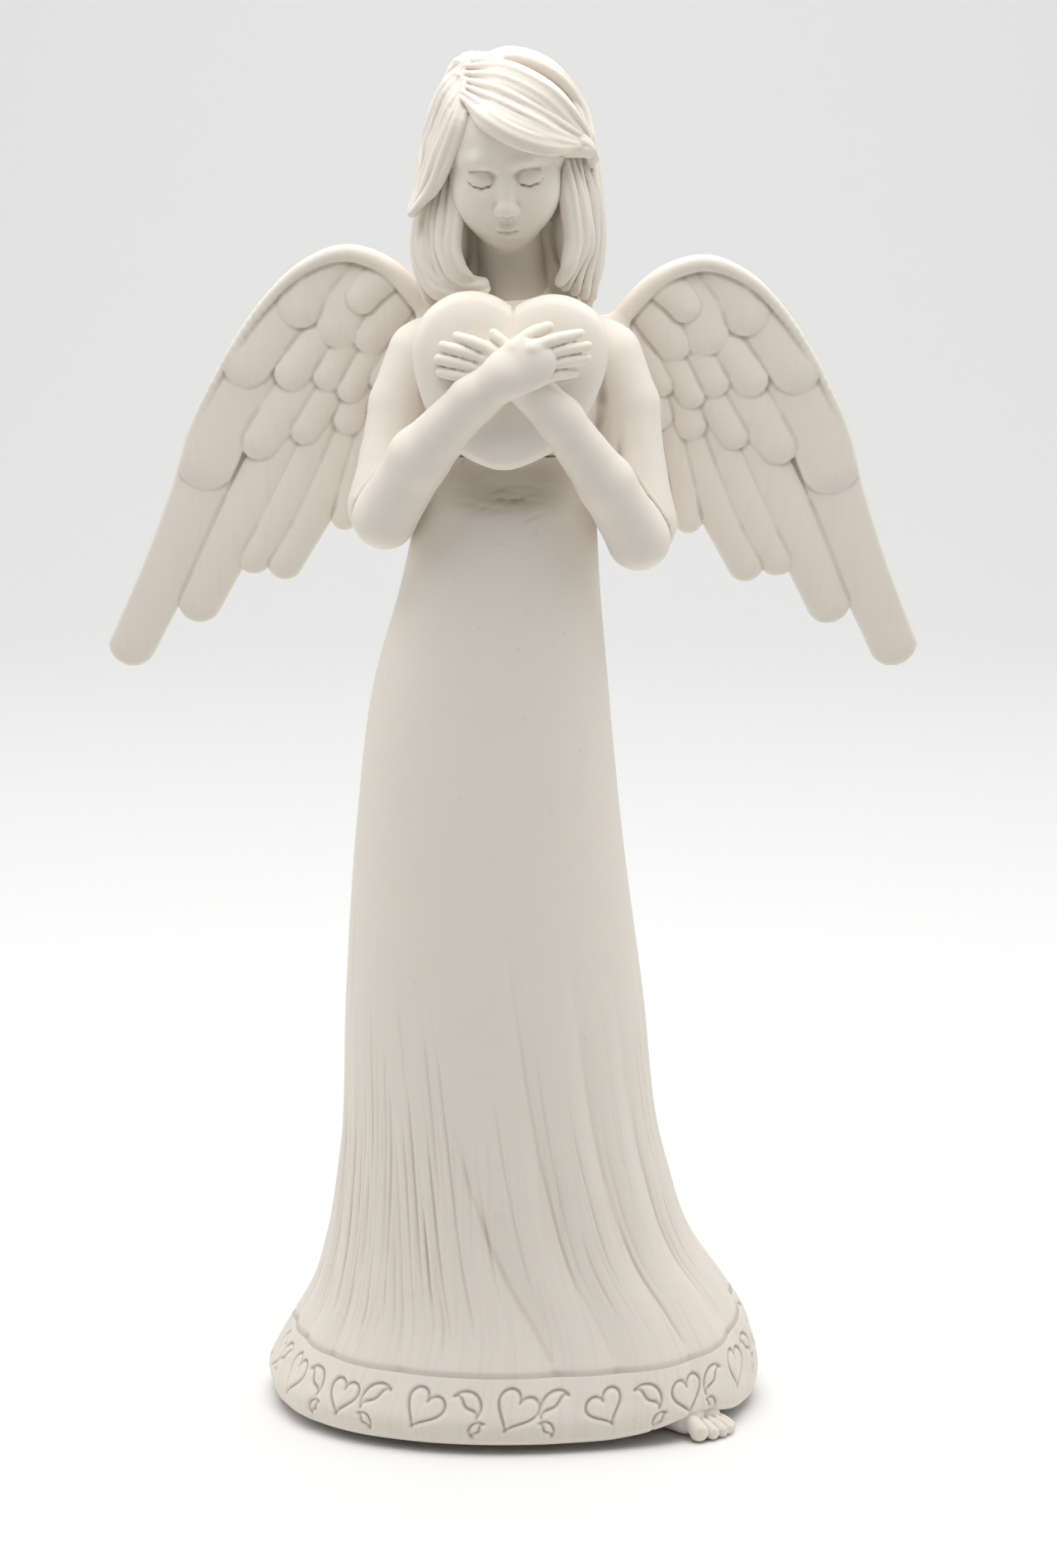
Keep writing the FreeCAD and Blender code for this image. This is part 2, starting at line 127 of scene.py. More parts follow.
class Clay:
    """A block of signed distances between two corners, negative inside the form."""

    def __init__(self, low, high, pitch):
        self.low, self.pitch = np.array(low, float), pitch * COARSE
        self.shape = np.ceil((np.array(high, float) - self.low) / self.pitch).astype(int) + 1
        self.field = np.full(self.shape, FAR, np.float32)

    def window(self, low, high):
        """The part of the block between two corners: its slices, and its points as x, y, z."""
        first = np.floor((np.asarray(low) - self.low) / self.pitch).astype(int)
        last = np.ceil((np.asarray(high) - self.low) / self.pitch).astype(int) + 1
        first = np.clip(first, 0, self.shape)
        last = np.clip(last, first, self.shape)
        steps = [self.pitch * np.arange(a, b) for a, b in zip(first, last)]
        axes = [(start + step).astype(np.float32) for start, step in zip(self.low, steps)]
        slices = tuple(slice(a, b) for a, b in zip(first, last))
        return slices, np.meshgrid(*axes, indexing="ij", sparse=True)

    def everywhere(self):
        return self.window(self.low, self.low + self.pitch * self.shape)

    def add(self, form, blend, cut=False):
        """Joins a form to the clay, or cuts it away. A form is a distance function and its two corners."""
        distance, low, high = form
        margin = blend + 2.5 * self.pitch
        part, points = self.window(np.asarray(low) - margin, np.asarray(high) + margin)
        if min(s.stop - s.start for s in part) <= 0:
            return
        d = distance(*points).astype(np.float32)
        here = self.field[part]
        self.field[part] = -smooth_min(-here, d, blend) if cut else smooth_min(here, d, blend)

    def ball(self, centre, radii, blend, turn=None, cut=False):
        self.add(ellipsoid(centre, radii, turn), blend, cut)

    def rod(self, a, b, ra, rb, blend, cut=False):
        self.add(capsule(a, b, ra, rb), blend, cut)

    def surface(self):
        """Points and quads of the form's skin."""
        grid = vdb.FloatGrid(FAR * 2)
        grid.copyFromArray(np.ascontiguousarray(self.field))
        points, quads = grid.convertToQuads(isovalue=0.0)
        return points.astype(float) * self.pitch + self.low, quads.astype(int)


def capsule(a, b, ra, rb):
    a, b = np.asarray(a, float), np.asarray(b, float)
    along = b - a
    square = max(float(along @ along), 1e-6)

    def distance(x, y, z):
        t = np.clip(((x - a[0]) * along[0] + (y - a[1]) * along[1] + (z - a[2]) * along[2]) / square, 0, 1)
        off = length(x - a[0] - t * along[0], y - a[1] - t * along[1], z - a[2] - t * along[2])
        return off - ra - t * (rb - ra)

    r = max(ra, rb)
    return distance, np.minimum(a, b) - r, np.maximum(a, b) + r


def ellipsoid(centre, radii, turn=None):
    """turn is a 3 by 3 matrix whose columns are the ellipsoid's own axes."""
    c, r = np.asarray(centre, float), np.asarray(radii, float)
    turn = np.eye(3) if turn is None else np.asarray(turn)

    def distance(x, y, z):
        p = (x - c[0], y - c[1], z - c[2])
        local = [sum(p[k] * turn[k, i] for k in range(3)) for i in range(3)]
        near = length(*[q / s for q, s in zip(local, r)])
        steep = length(*[q / (s * s) for q, s in zip(local, r)])
        return near * (near - 1) / np.maximum(steep, 1e-4)

    reach = np.abs(turn) @ r
    return distance, c - reach, c + reach


def limb(clay, points, radii, blend, first_blend=None, cut=False):
    """Capsules end to end."""
    for i in range(len(points) - 1):
        k = first_blend if i == 0 and first_blend is not None else blend
        clay.rod(points[i], points[i + 1], radii[i], radii[i + 1], k, cut)


def curve_through(points, count):
    """count points on a smooth curve through the given ones."""
    p = np.asarray(points, float)
    p = np.vstack([2 * p[0] - p[1], p, 2 * p[-1] - p[-2]])
    spans = len(p) - 3
    out = []
    for s in np.linspace(0, spans, count):
        i = min(int(s), spans - 1)
        t = s - i
        a, b, c, d = p[i:i + 4]
        out.append(0.5 * (2 * b + (c - a) * t + (2 * a - 5 * b + 4 * c - d) * t * t
                          + (3 * b - a - 3 * c + d) * t ** 3))
    return np.array(out)


def steady(x, xs, ys):
    """Smooth interpolation of a table that never overshoots it by much."""
    xs, ys = np.asarray(xs, float), np.asarray(ys, float)
    slopes = np.gradient(ys, xs)
    i = np.clip(np.searchsorted(xs, x) - 1, 0, len(xs) - 2)
    h = xs[i + 1] - xs[i]
    t = np.clip((x - xs[i]) / h, 0, 1)
    return ((1 + 2 * t) * (1 - t) ** 2 * ys[i] + t * (1 - t) ** 2 * h * slopes[i]
            + t * t * (3 - 2 * t) * ys[i + 1] + t * t * (t - 1) * h * slopes[i + 1])


def nearest_segment(p, a, b):
    """Distance from each point to the nearest of the segments a to b."""
    along = b - a
    t = np.clip(((p - a) * along).sum(-1) / np.maximum((along ** 2).sum(-1), 1e-9), 0, 1)
    return np.sqrt((((p - a) - t[..., None] * along) ** 2).sum(-1)).min(1)


def outline_distance(x, z, outline):
    """Distance from a closed outline in the X, Z plane, negative inside it."""
    x, z = np.broadcast_arrays(x, z)
    p = np.stack([x.ravel(), z.ravel()], -1)[:, None, :].astype(np.float32)
    a = np.asarray(outline, np.float32)[None]
    b = np.roll(a, -1, 1)
    edge = nearest_segment(p, a, b)
    level = (p[..., 1] - a[..., 1]) / (b[..., 1] - a[..., 1] + 1e-9)
    spans = (a[..., 1] > p[..., 1]) != (b[..., 1] > p[..., 1])
    crosses = spans & (p[..., 0] < a[..., 0] + level * (b - a)[..., 0])
    return np.where(crosses.sum(1) % 2 == 1, -edge, edge).reshape(x.shape)


def rounded(sideways, through, radius):
    """Distance from a slab with rounded edges, from its distances sideways and through its thickness."""
    a, b = sideways + radius, through + radius
    return np.minimum(np.maximum(a, b), 0) + length(np.maximum(a, 0), np.maximum(b, 0)) - radius


# ---- meshes ----
DEEP_HOLLOW = 0.10         # depth in millimetres that fills with wash


def neighbour_mean(values, edges, count):
    total = np.zeros((count,) + values.shape[1:])
    for a, b in ((0, 1), (1, 0)):
        np.add.at(total, edges[:, a], values[edges[:, b]])
    degree = np.bincount(edges.ravel(), minlength=count).astype(float)
    return total / degree.reshape((-1,) + (1,) * (values.ndim - 1))


def wash_of(mesh, reach=4):
    """How far each point lies in a hollow, or below 0 on a ridge. The painter's wash settles in hollows."""
    n = len(mesh.vertices)
    co, normal = np.empty(n * 3), np.empty(n * 3)
    mesh.vertices.foreach_get("co", co)
    mesh.vertices.foreach_get("normal", normal)
    co, normal = co.reshape(-1, 3) / MM, normal.reshape(-1, 3)
    edges = np.empty(len(mesh.edges) * 2, int)
    mesh.edges.foreach_get("vertices", edges)
    edges = edges.reshape(-1, 2)
    smooth = co
    for _ in range(reach):
        smooth = neighbour_mean(smooth, edges, n)
    hollow = np.einsum("ij,ij->i", smooth - co, normal)
    return np.clip(neighbour_mean(hollow, edges, n) / DEEP_HOLLOW, -1, 1)


def paint(mesh, name, values):
    """Stores one number per point, which the materials read."""
    layer = mesh.attributes.new(name, "FLOAT", "POINT")
    layer.data.foreach_set("value", values.astype(np.float32))


def build_mesh(name, points, quads, flow=None, combed=None, painted_shade=None, displace=None):
    """A smooth-shaded piece.

    flow is each point's place across and along the brush strokes, and combed is their strength.
    Painted shade, if given, is wash colour put where shade falls under the heart and under the chin, beyond
    what settles in hollows.
    displace says how far each point moves out along its normal.
    """
    mesh = bpy.data.meshes.new(name)
    mesh.from_pydata((points * MM).tolist(), [], quads.tolist())
    mesh.update()
    normals = np.empty(len(points) * 3)
    mesh.vertices.foreach_get("normal", normals)
    normals = normals.reshape(-1, 3)
    facing_out = np.einsum("ij,ij->i", points - points.mean(0), normals).sum() >= 0
    if not facing_out:
        mesh.flip_normals()
        normals = -normals
    if displace is not None:
        points = points + normals * displace(points)[:, None]
        mesh.vertices.foreach_set("co", (points * MM).ravel())
        mesh.update()
    mesh.polygons.foreach_set("use_smooth", np.ones(len(mesh.polygons), bool))
    # One attribute holds the wash in hollows and, where given, the painted shade.
    paint(mesh, "wash_and_shade", wash_of(mesh) if painted_shade is None else np.maximum(wash_of(mesh), painted_shade))
    paint(mesh, "combed", np.ones(len(points)) if combed is None else combed)
    strokes = mesh.attributes.new("strokes", "FLOAT_VECTOR", "POINT")
    along = points if flow is None else flow
    strokes.data.foreach_set("vector", along.astype(np.float32).ravel())
    piece = bpy.data.objects.new(name, mesh)
    bpy.context.scene.collection.objects.link(piece)
    return piece


def dress(piece, material, body, replaced):
    piece.data.materials.append(material)
    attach(piece, body)
    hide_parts(*replaced)
    return piece


# ---- materials ----
class Finish:
    """A material, with short words for the nodes that make it."""

    def __init__(self, name):
        self.material = bpy.data.materials.new(name)
        self.material.use_nodes = True
        self.nodes, self.links = self.material.node_tree.nodes, self.material.node_tree.links
        self.shader = self.nodes["Principled BSDF"]

    def node(self, kind, inputs=(), **settings):
        """A node with its inputs set: a socket is linked, and anything else is a plain value."""
        made = self.nodes.new("ShaderNode" + kind)
        for key, value in settings.items():
            setattr(made, key, value)
        for key, value in inputs:
            self.feed(made, key, value)
        return made

    def feed(self, made, key, value):
        if isinstance(value, bpy.types.NodeSocket):
            self.links.new(value, made.inputs[key])
        else:
            made.inputs[key].default_value = value

    def attribute(self, name, output="Fac"):
        return self.node("Attribute", attribute_name=name).outputs[output]

    def noise(self, place, scale, detail):
        inputs = (("Scale", scale), ("Detail", detail), ("Vector", place))
        return self.node("TexNoise", inputs).outputs["Fac"]

    def stretch(self, place, scale):
        return self.node("Mapping", (("Scale", scale), ("Vector", place))).outputs["Vector"]

    def times(self, a, b):
        return self.node("Math", ((0, a), (1, b)), operation="MULTIPLY").outputs[0]

    def reading(self, value, low, high, low_out=0.0, high_out=1.0):
        """A value that lies between low and high, moved between low_out and high_out."""
        inputs = (("From Min", low), ("From Max", high), ("To Min", low_out), ("To Max", high_out),
                  ("Value", value))
        return self.node("MapRange", inputs).outputs["Result"]

    def mix(self, share, a, b):
        inputs = ((0, share), (6, a), (7, b))
        return self.node("Mix", inputs, data_type="RGBA", blend_type="MIX").outputs[2]

    def bump(self, height, depth, below=None):
        """Relief of a depth in millimetres, over the relief below it."""
        inputs = [("Strength", 1.0), ("Distance", depth * MM), ("Height", height)]
        if below is not None:
            inputs.append(("Normal", below))
        return self.node("Bump", inputs).outputs["Normal"]

    def finish(self, **inputs):
        for key, value in inputs.items():
            self.feed(self.shader, key.replace("_", " "), value)
        return self.material


def resin(name, light, wash_and_shade, stroke_scale, stroke_depth, streak_wash=0.10, grain_depth=0.010,
          pit_depth=0.0):
    """Matte cast resin: pale, with a warm wash in its hollows, painted shade in the wash colour where a
    mesh carries it, brush strokes and a fine cast grain.
    """
    mat = Finish(name)
    strokes = mat.attribute("strokes", "Vector")
    # This attribute holds the wash in hollows and the painted shade under the heart and the chin.
    hollow = mat.attribute("wash_and_shade")
    strokes_at = mat.noise(mat.stretch(strokes, stroke_scale), 1.0, 3.0)
    streaks = mat.times(strokes_at, mat.attribute("combed"))
    cloud = mat.noise(mat.stretch(strokes, (0.05, 0.05, 0.05)), 1.0, 2.0)
    grain = mat.noise(mat.stretch(strokes, (2.6, 2.6, 2.6)), 1.0, 2.0)
    pits = mat.reading(mat.noise(mat.stretch(strokes, (0.50, 0.50, 0.50)), 1.0, 0.0), 0.21, 0.15)

    wash_and_shade = (*wash_and_shade, 1)
    shaded = (*[c * 0.93 for c in light], 1)
    rubbed = (*[min(1, c * 1.06) for c in light], 1)
    body = mat.mix(mat.reading(cloud, 0.35, 0.65, 0.0, 0.15), (*light, 1), shaded)
    body = mat.mix(mat.reading(streaks, 0.50, 0.74, 0.0, streak_wash), body, wash_and_shade)
    # Wash colour in hollows, and painted shade under the heart and the chin.
    body = mat.mix(mat.reading(hollow, 0.10, 0.95, 0.0, 0.85), body, wash_and_shade)
    body = mat.mix(mat.reading(hollow, -0.15, -0.8, 0.0, 0.55), body, rubbed)
    normal = mat.bump(grain, grain_depth)
    normal = mat.bump(streaks, stroke_depth, normal)
    normal = mat.bump(pits, -pit_depth, normal)
    return mat.finish(
        Base_Color=body, Roughness=mat.reading(grain, 0.3, 0.7, 0.56, 0.70), Normal=normal,
        Specular_IOR_Level=0.35, Subsurface_Weight=0.12, Subsurface_Radius=(1.0, 0.8, 0.6),
        Subsurface_Scale=0.0015)


def plain_material(name, light, dark, scale, roughness, depth, metallic=0.0):
    """Mottled finish for the pieces under and inside the gown."""
    mat = Finish(name)
    place = mat.node("TexCoord").outputs["Object"]
    mottle = mat.noise(place, scale, 5.0)
    return mat.finish(
        Base_Color=mat.mix(mat.reading(mottle, 0.32, 0.68), (*dark, 1), (*light, 1)),
        Roughness=mat.reading(mottle, 0.0, 1.0, roughness - 0.08, roughness + 0.08),
        Normal=mat.bump(mottle, depth), Metallic=metallic)


# ---- skirt and hem band ----
def gown_section(z, out=0.0):
    """The gown's outline at a height: its centre, and its half widths moved out by a distance."""
    table = np.array(GOWN)
    left, right, front, back = [steady(z, table[:, 0], table[:, k]) for k in range(1, 5)]
    return (left + right) / 2, (front + back) / 2, (right - left) / 2 + out, (back - front) / 2 + out


def gown_point(turn, z, out=0.0):
    """Point on the gown at an angle from the front towards +X, moved out by a distance."""
    cx, cy, a, b = gown_section(z, out)
    s, c = np.sin(turn), np.cos(turn)
    fullness = (np.abs(s) ** SQUARENESS + np.abs(c) ** SQUARENESS) ** (-1 / SQUARENESS)
    level = np.broadcast_to(z, np.shape(turn * z))
    return np.stack([cx + a * s * fullness, cy - b * c * fullness, level], -1)


def wrap(angle):
    return (angle + np.pi) % (2 * np.pi) - np.pi


# Soft folds: angle at the top and at the hem, height where the fold dies out, depth, and width at the hem.
FOLDS = [
    (-0.36, 0.16, 66, 0.95, 0.15), (0.06, 0.42, 104, 0.70, 0.13), (0.50, 0.78, 96, 0.60, 0.12),
    (-1.08, -0.90, 82, 0.45, 0.09), (-1.34, -1.20, 76, 0.50, 0.09), (-0.74, -0.52, 70, 0.35, 0.09),
    (0.86, 1.16, 84, 0.60, 0.12), (1.25, 1.62, 88, 0.80, 0.12), (1.75, 2.05, 80, 0.80, 0.12),
    (2.30, 2.52, 92, 0.90, 0.13), (2.80, 3.02, 84, 0.85, 0.12), (-1.66, -1.52, 80, 0.65, 0.11),
    (-2.10, -1.96, 90, 0.90, 0.13), (-2.60, -2.44, 82, 0.80, 0.12),
]
WAVES = [(3, 0.6, 0.55), (5, 2.1, 0.35), (8, 0.9, 0.25)]    # lobes round the hem, phase, height
SWELL_TOP = 60             # the waves die out at this height


def skirt_relief(turn, z):
    """Height of the folds over the plain gown."""
    out = np.zeros(np.broadcast(turn, z).shape)
    swell = np.clip((SWELL_TOP - z) / SWELL_TOP, 0, 1) ** 1.5
    for lobes, phase, height in WAVES:
        out += height * swell * np.cos(lobes * turn + phase + z * 0.006)
    for top, bottom, reach, depth, width in FOLDS:
        t = np.clip((reach - z) / (reach - HEM_LINE_Z), 0, 1.15)
        centre = top + (bottom - top) * t ** 1.25
        strength = np.clip(t * 1.6, 0, 1) ** 1.4 * (0.75 + 0.25 * np.cos(t * 2.2))
        off = wrap(turn - centre)
        w = width * (0.45 + 0.55 * t)
        groove = 0.85 * bell(off, w * 0.62) + 0.12 * bell(off, w * 0.16)
        roll = bell(off + w * 1.5, w * 1.3) + 0.6 * bell(off - w * 1.6, w * 1.5)
        out += depth * strength * (0.75 * roll - groove)
    return out


def fine_grooves(turn, z, count=260, seed=11):
    """Long thin tool marks that run down the skirt."""
    rng = np.random.default_rng(seed)
    out = np.zeros(np.broadcast(turn, z).shape)
    height = z[:, 0] if z.ndim == 2 else z
    for _ in range(count):
        crowded = rng.uniform() < 0.4      # more of them on the front, towards -X
        centre = rng.uniform(-1.35, -0.35) if crowded else rng.uniform(-np.pi, np.pi)
        foot = HEM_LINE_Z + rng.exponential(9)
        reach = rng.uniform(14, 52)
        depth, width = rng.uniform(0.04, 0.16), rng.uniform(0.20, 0.42)
        rows = np.nonzero((height > foot) & (height < foot + reach))[0]
        if not len(rows):
            continue
        t = (height[rows] - foot) / reach
        lean = centre + (0.16 if centre > -0.7 else 0.05) * (1 - t) * reach / 45
        off = wrap(turn[0][None, :] - lean[:, None]) * (SKIRT_RADIUS + 1)
        out[rows] -= depth * np.sin(np.pi * np.clip(t, 0, 1))[:, None] ** 0.6 * bell(off, width)
    return out


def grid_quads(rows, columns):
    """Quads of a band that closes on itself sideways."""
    i = np.arange(rows - 1)[:, None] * columns
    j = np.arange(columns)[None, :]
    k = (j + 1) % columns
    return np.stack([i + j, i + k, i + columns + k, i + columns + j], -1).reshape(-1, 4)


def hem_line(turn):
    """Height of the line over the hem band, which kicks up on the +X side."""
    return HEM_LINE_Z + 5.0 * bell(wrap(turn - 1.75), 0.62) + 0.8 * bell(wrap(turn + 1.5), 0.5)


def scratches(turn, z, count=60, seed=23):
    """Short rough strokes across the recess below the heart."""
    rng = np.random.default_rng(seed)
    out = np.zeros(np.broadcast(turn, z).shape)
    for _ in range(count):
        at, up = rng.normal(0, 0.26), rng.normal(163.4, 1.3)
        reach, lean = rng.uniform(0.8, 3.2), rng.normal(0, 0.25)
        across = wrap(turn - at) * 14
        out -= rng.uniform(0.03, 0.17) * bell(across, reach) * bell(z - up - lean * across, 0.34)
    return out


def turns_round(columns):
    return np.linspace(-np.pi, np.pi, columns, endpoint=False)[None, :]


def hem_groove(z, line):
    return 0.32 * bell(z - line, 0.30)


def skirt():
    """The gown from the hem line up into the bodice, in finer rows near the hem and near the waist."""
    turn = turns_round(int(760 / COARSE))
    fine_below, fine_above = 60, 156
    hem_step, plain_step, waist_step = 0.45 * COARSE, 1.0, 0.35
    level = np.concatenate([
        np.arange(HEM_LINE_Z, fine_below, hem_step), np.arange(fine_below, fine_above, plain_step),
        np.arange(fine_above, SKIRT_TOP, waist_step)])[:, None]
    low_down = np.clip((fine_below - level) / (fine_below - HEM_LINE_Z), 0, 1)
    lift = (hem_line(turn) - HEM_LINE_Z) * low_down
    z = level + lift - 0.4 * np.clip(HEM_LINE_Z + 1 - level, 0, 1)
    out = skirt_relief(turn, z) + fine_grooves(turn, level) - hem_groove(z, hem_line(turn))
    recess = bell(z - 164.0, 2.4) * bell(wrap(turn), 0.62)
    out += scratches(turn, z) - 1.1 * recess
    points = gown_point(turn, z, out)
    flow = np.stack(np.broadcast_arrays(turn * SKIRT_RADIUS, z, 0), -1)
    combed = 0.15 + 0.85 * np.clip((100 - z) / 55, 0, 1)
    # Painted shade: wash colour in a band on the skirt's front just below the heart, where the heart's
    # shadow falls.
    painted_shade = np.exp(-((z - 166) / 5.0) ** 2 - (wrap(turn) / 0.75) ** 4)
    return points.reshape(-1, 3), grid_quads(*out.shape), flow.reshape(-1, 3), combed.ravel(), painted_shade.ravel()


def heart_line(size, count=44):
    t = np.linspace(0, 2 * np.pi, count, endpoint=False)
    x = 16 * np.sin(t) ** 3
    y = 13 * np.cos(t) - 5 * np.cos(2 * t) - 2 * np.cos(3 * t) - np.cos(4 * t) + 2.5
    return np.stack([x, y], -1) * size / 32


def crescent_line(radius, opening, thick, count=22):
    """Crescent standing on its lower point: an outer arc and a flatter inner arc."""
    t = np.linspace(-opening, opening, count)
    outer = np.stack([radius * np.cos(t), radius * np.sin(t)], -1)
    inner = np.stack([(radius - thick * np.cos(t * np.pi / 2 / opening)) * np.cos(t),
                      (radius - thick * 0.4 * np.cos(t * np.pi / 2 / opening)) * np.sin(t)], -1)
    return np.vstack([outer, inner[::-1]])


def turned(line, angle, at, flip=1):
    c, s = math.cos(angle), math.sin(angle)
    line = line * [flip, 1]
    return np.stack([line[:, 0] * c - line[:, 1] * s + at[0], line[:, 0] * s + line[:, 1] * c + at[1]], -1)


def hem_motifs():
    """Closed lines to engrave: across in millimetres round the hem, and up from the floor."""
    cells = 17
    step = 2 * np.pi * HEM_RADIUS / cells
    rng = np.random.default_rng(5)
    lines = []
    for i in range(cells):
        at = (i - cells // 2) * step
        side = 1 if i % 2 else -1
        lines.append(turned(heart_line(6.0 + 0.5 * (i % 3)), rng.uniform(-0.45, 0.45), (at, 7.4)))
        lines.append(turned(crescent_line(2.7, 1.45, 2.3), 0.9 * side, (at + 0.45 * step, 7.9), side))
        below = (at + (0.49 + 0.15 * side) * step, 4.4)
        lines.append(turned(crescent_line(1.5, 1.4, 1.5), -0.7 * side, below, -side))
    return lines


def engraving(across, up, lines, width, depth):
    """Depth of grooves along closed lines, over a grid of points."""
    out = np.zeros(across.shape)
    for line in lines:
        near = ((across > line[:, 0].min() - 1) & (across < line[:, 0].max() + 1)
                & (up > line[:, 1].min() - 1) & (up < line[:, 1].max() + 1))
        if not near.any():
            continue
        p = np.stack([across[near], up[near]], -1)[:, None, :]
        off = nearest_segment(p, line[None], np.roll(line, -1, 0)[None])
        out[near] = np.maximum(out[near], depth * bell(off, width))
    return out


def hem_lift(turn):
    """How far the hem's edge is raised, over the foot."""
    return 2.6 * bell(wrap(turn - 0.80), 0.24)


def hem_band():
    """The engraved band below the hem line, with its rounded lower edge turned up inside."""
    edge_depth, edge_height, turned_up = 1.3, 0.9, 3.5
    columns = int(1120 / COARSE)
    turn = turns_round(columns)
    share = np.linspace(1, 0, int(56 / COARSE))[:, None]
    bottom = HEM_EDGE_Z + edge_height + hem_lift(turn)
    line = hem_line(turn)
    z = bottom + (line - bottom) * share
    out = skirt_relief(turn, z) * (0.45 + 0.55 * share) - hem_groove(z, line)
    across = np.broadcast_to(turn * HEM_RADIUS, z.shape)
    once_round = 2 * np.pi * HEM_RADIUS
    motifs = [motif + [shift, 0] for motif in hem_motifs() for shift in (-once_round, 0, once_round)]
    out -= engraving(across, HEM_LINE_Z + (z - line), motifs, width=0.34, depth=0.48)
    rows = [gown_point(turn, z, out)]
    for a in np.linspace(0, np.pi, 7)[1:]:
        row = gown_point(turn, bottom, out[-1:] - edge_depth * (1 - math.cos(a)))
        row[..., 2] = bottom - edge_height * math.sin(a)
        rows.append(row)
    rows.append(gown_point(turn, bottom + turned_up, out[-1:] * 0 - 4.0))
    points = np.concatenate(rows, 0)
    flow = np.stack(np.broadcast_arrays(turn * HEM_RADIUS, points[..., 2], 0), -1)
    return points.reshape(-1, 3), grid_quads(points.shape[0], columns), flow.reshape(-1, 3)


# ---- bodice and sleeves ----
RIGHT_SLEEVE = [(-15.6, 1, 186.8), (-18.6, 0.4, 178), (-20.3, -2.2, 168.6), (-21.6, -5.2, 161.2)]
LEFT_SLEEVE = [(16.6, 1, 186.6), (19.5, 0.4, 178), (20.4, -2.2, 167), (21.8, -5.2, 158.2)]
SLEEVE_RADII = [6.2, 6.3, 6.4, 7.0]
RIGHT_ARM = [(-22, -9.6, 159.6), (-15.8, -15.8, 170.4), (-6.2, -22, 181), (-1.2, -24.4, 184.6)]
LEFT_ARM = [(22, -9.6, 155.8), (16.2, -15.2, 165.9), (8.2, -20, 177.2), (2.8, -21.6, 182.8)]
BODICE_BLOCK = ((-31, -17, 148), (31, 15, 203), 0.42)
TORSO_TOP = 178


def torso(x, y, z):
    """Distance from the body: the gown's outline, a little larger, and drawn in near its top."""
    larger, drawn_in, drawn_above = 0.35, 0.35, 167
    cx, cy, a, b = gown_section(z, larger)
    u, v = np.abs(x - cx) / a, np.abs(y - cy) / b
    around = (u ** SQUARENESS + v ** SQUARENESS) ** (1 / SQUARENESS)
    side = (around - 1) * np.minimum(a, b) + drawn_in * np.clip(z - drawn_above, 0, None)
    return np.maximum(side, z - TORSO_TOP)


def sleeves():
    """Bell sleeves, hollowed where the forearms come out."""
    clay = Clay(*BODICE_BLOCK)
    for sleeve in (RIGHT_SLEEVE, LEFT_SLEEVE):
        limb(clay, sleeve, SLEEVE_RADII, 0.8)
    for arm in (RIGHT_ARM, LEFT_ARM):
        elbow, toward = np.array(arm[0]), unit(np.subtract(arm[1], arm[0]))
        clay.rod(elbow, elbow + toward * 26, 5.6, 5.6, 0.4, cut=True)
        mouth = elbow + toward * 8.5 + np.array([-math.copysign(5, elbow[0]), 0, -2.4])
        clay.ball(mouth, (11.2, 11.2, 11.2), 0.5, cut=True)
        clay.ball((elbow[0] * 0.66, -8, elbow[2] - 1), (5.4, 9, 7), 0.5, cut=True)
    return clay


def bodice():
    """Chest, shoulders and collar over the waist seam, joined to the sleeves."""
    clay = Clay(*BODICE_BLOCK)
    clay.add((torso, (-20, -16, 150), (20, 14, TORSO_TOP)), 0)
    clay.ball((0, -0.6, 180), (16.4, 11.6, 16), 5)
    limb(clay, [(-13, 1, 188.8), (0.5, 1.2, 191.6), (14, 1, 188.6)], [5.2, 6.4, 5.2], 2, 3)
    clay.rod((0.8, 1.2, 190), (0.8, 0.6, 199.6), 8.2, 5.5, 3)
    clay.ball((0, -4, 184), (14.5, 8.5, 12.5), 1.5)
    above_waist = clay.everywhere()[1][2] - WAIST_Z
    clay.field = -smooth_min(-clay.field, above_waist, 1.2)
    clay.rod((-12, -14, 163.5), (12, -14, 163.5), 7.6, 7.6, 1.2, cut=True)
    clay.field = smooth_min(clay.field, sleeves().field, 1.6)
    # Creases where the sleeves lie against the chest.
    for x, top, bottom in ((-17.2, 184, 170), (18, 184, 168)):
        clay.rod((x, -6.9, top), (x * 1.03, -7.9, bottom), 0.1, 0.1, 1.6, cut=True)
    return clay


HEART_OUTLINE = [
    (0.3, 195.8), (-2.6, 197.7), (-6.4, 198.6), (-10.6, 197.9), (-14.6, 195), (-16.8, 190.6),
    (-16.7, 185.6), (-14.8, 179.2), (-11.6, 173.8), (-7, 170), (-1.2, 168.3), (4.8, 170.3),
    (10.2, 173.8), (13.6, 179), (16, 185.2), (16.5, 190.4), (14.8, 194.6), (11, 197.2),
    (6.8, 198), (3, 197.2), (0.3, 195.8),
]


def heart_shape():
    """The held heart: a flat back against the chest, and a front that swells out from its rim."""
    clay = Clay((-20, -24, 165), (20, -7, 202), 0.36)
    back, rim_front, swell, swell_width = -9.5, -17.2, 3.4, 9
    part, (x, y, z) = clay.everywhere()
    flat = outline_distance(x, z, curve_through(HEART_OUTLINE, 180)[:-1])
    depth = np.clip(-flat, 0, swell_width)
    front = rim_front + 0.12 * (z - 184) - swell * (1 - (1 - depth / swell_width) ** 2) ** 0.5
    middle, half = (front + back) / 2, (back - front) / 2
    clay.field[part] = rounded(flat, np.abs(y - middle) - half, 1.4)
    return clay


# ---- arms ----
def finger(clay, points, radii, blend=0.45):
    radii = np.interp(np.linspace(0, 1, 6), np.linspace(0, 1, len(radii)), radii)
    limb(clay, curve_through(points, 6), radii, 0.05, blend)


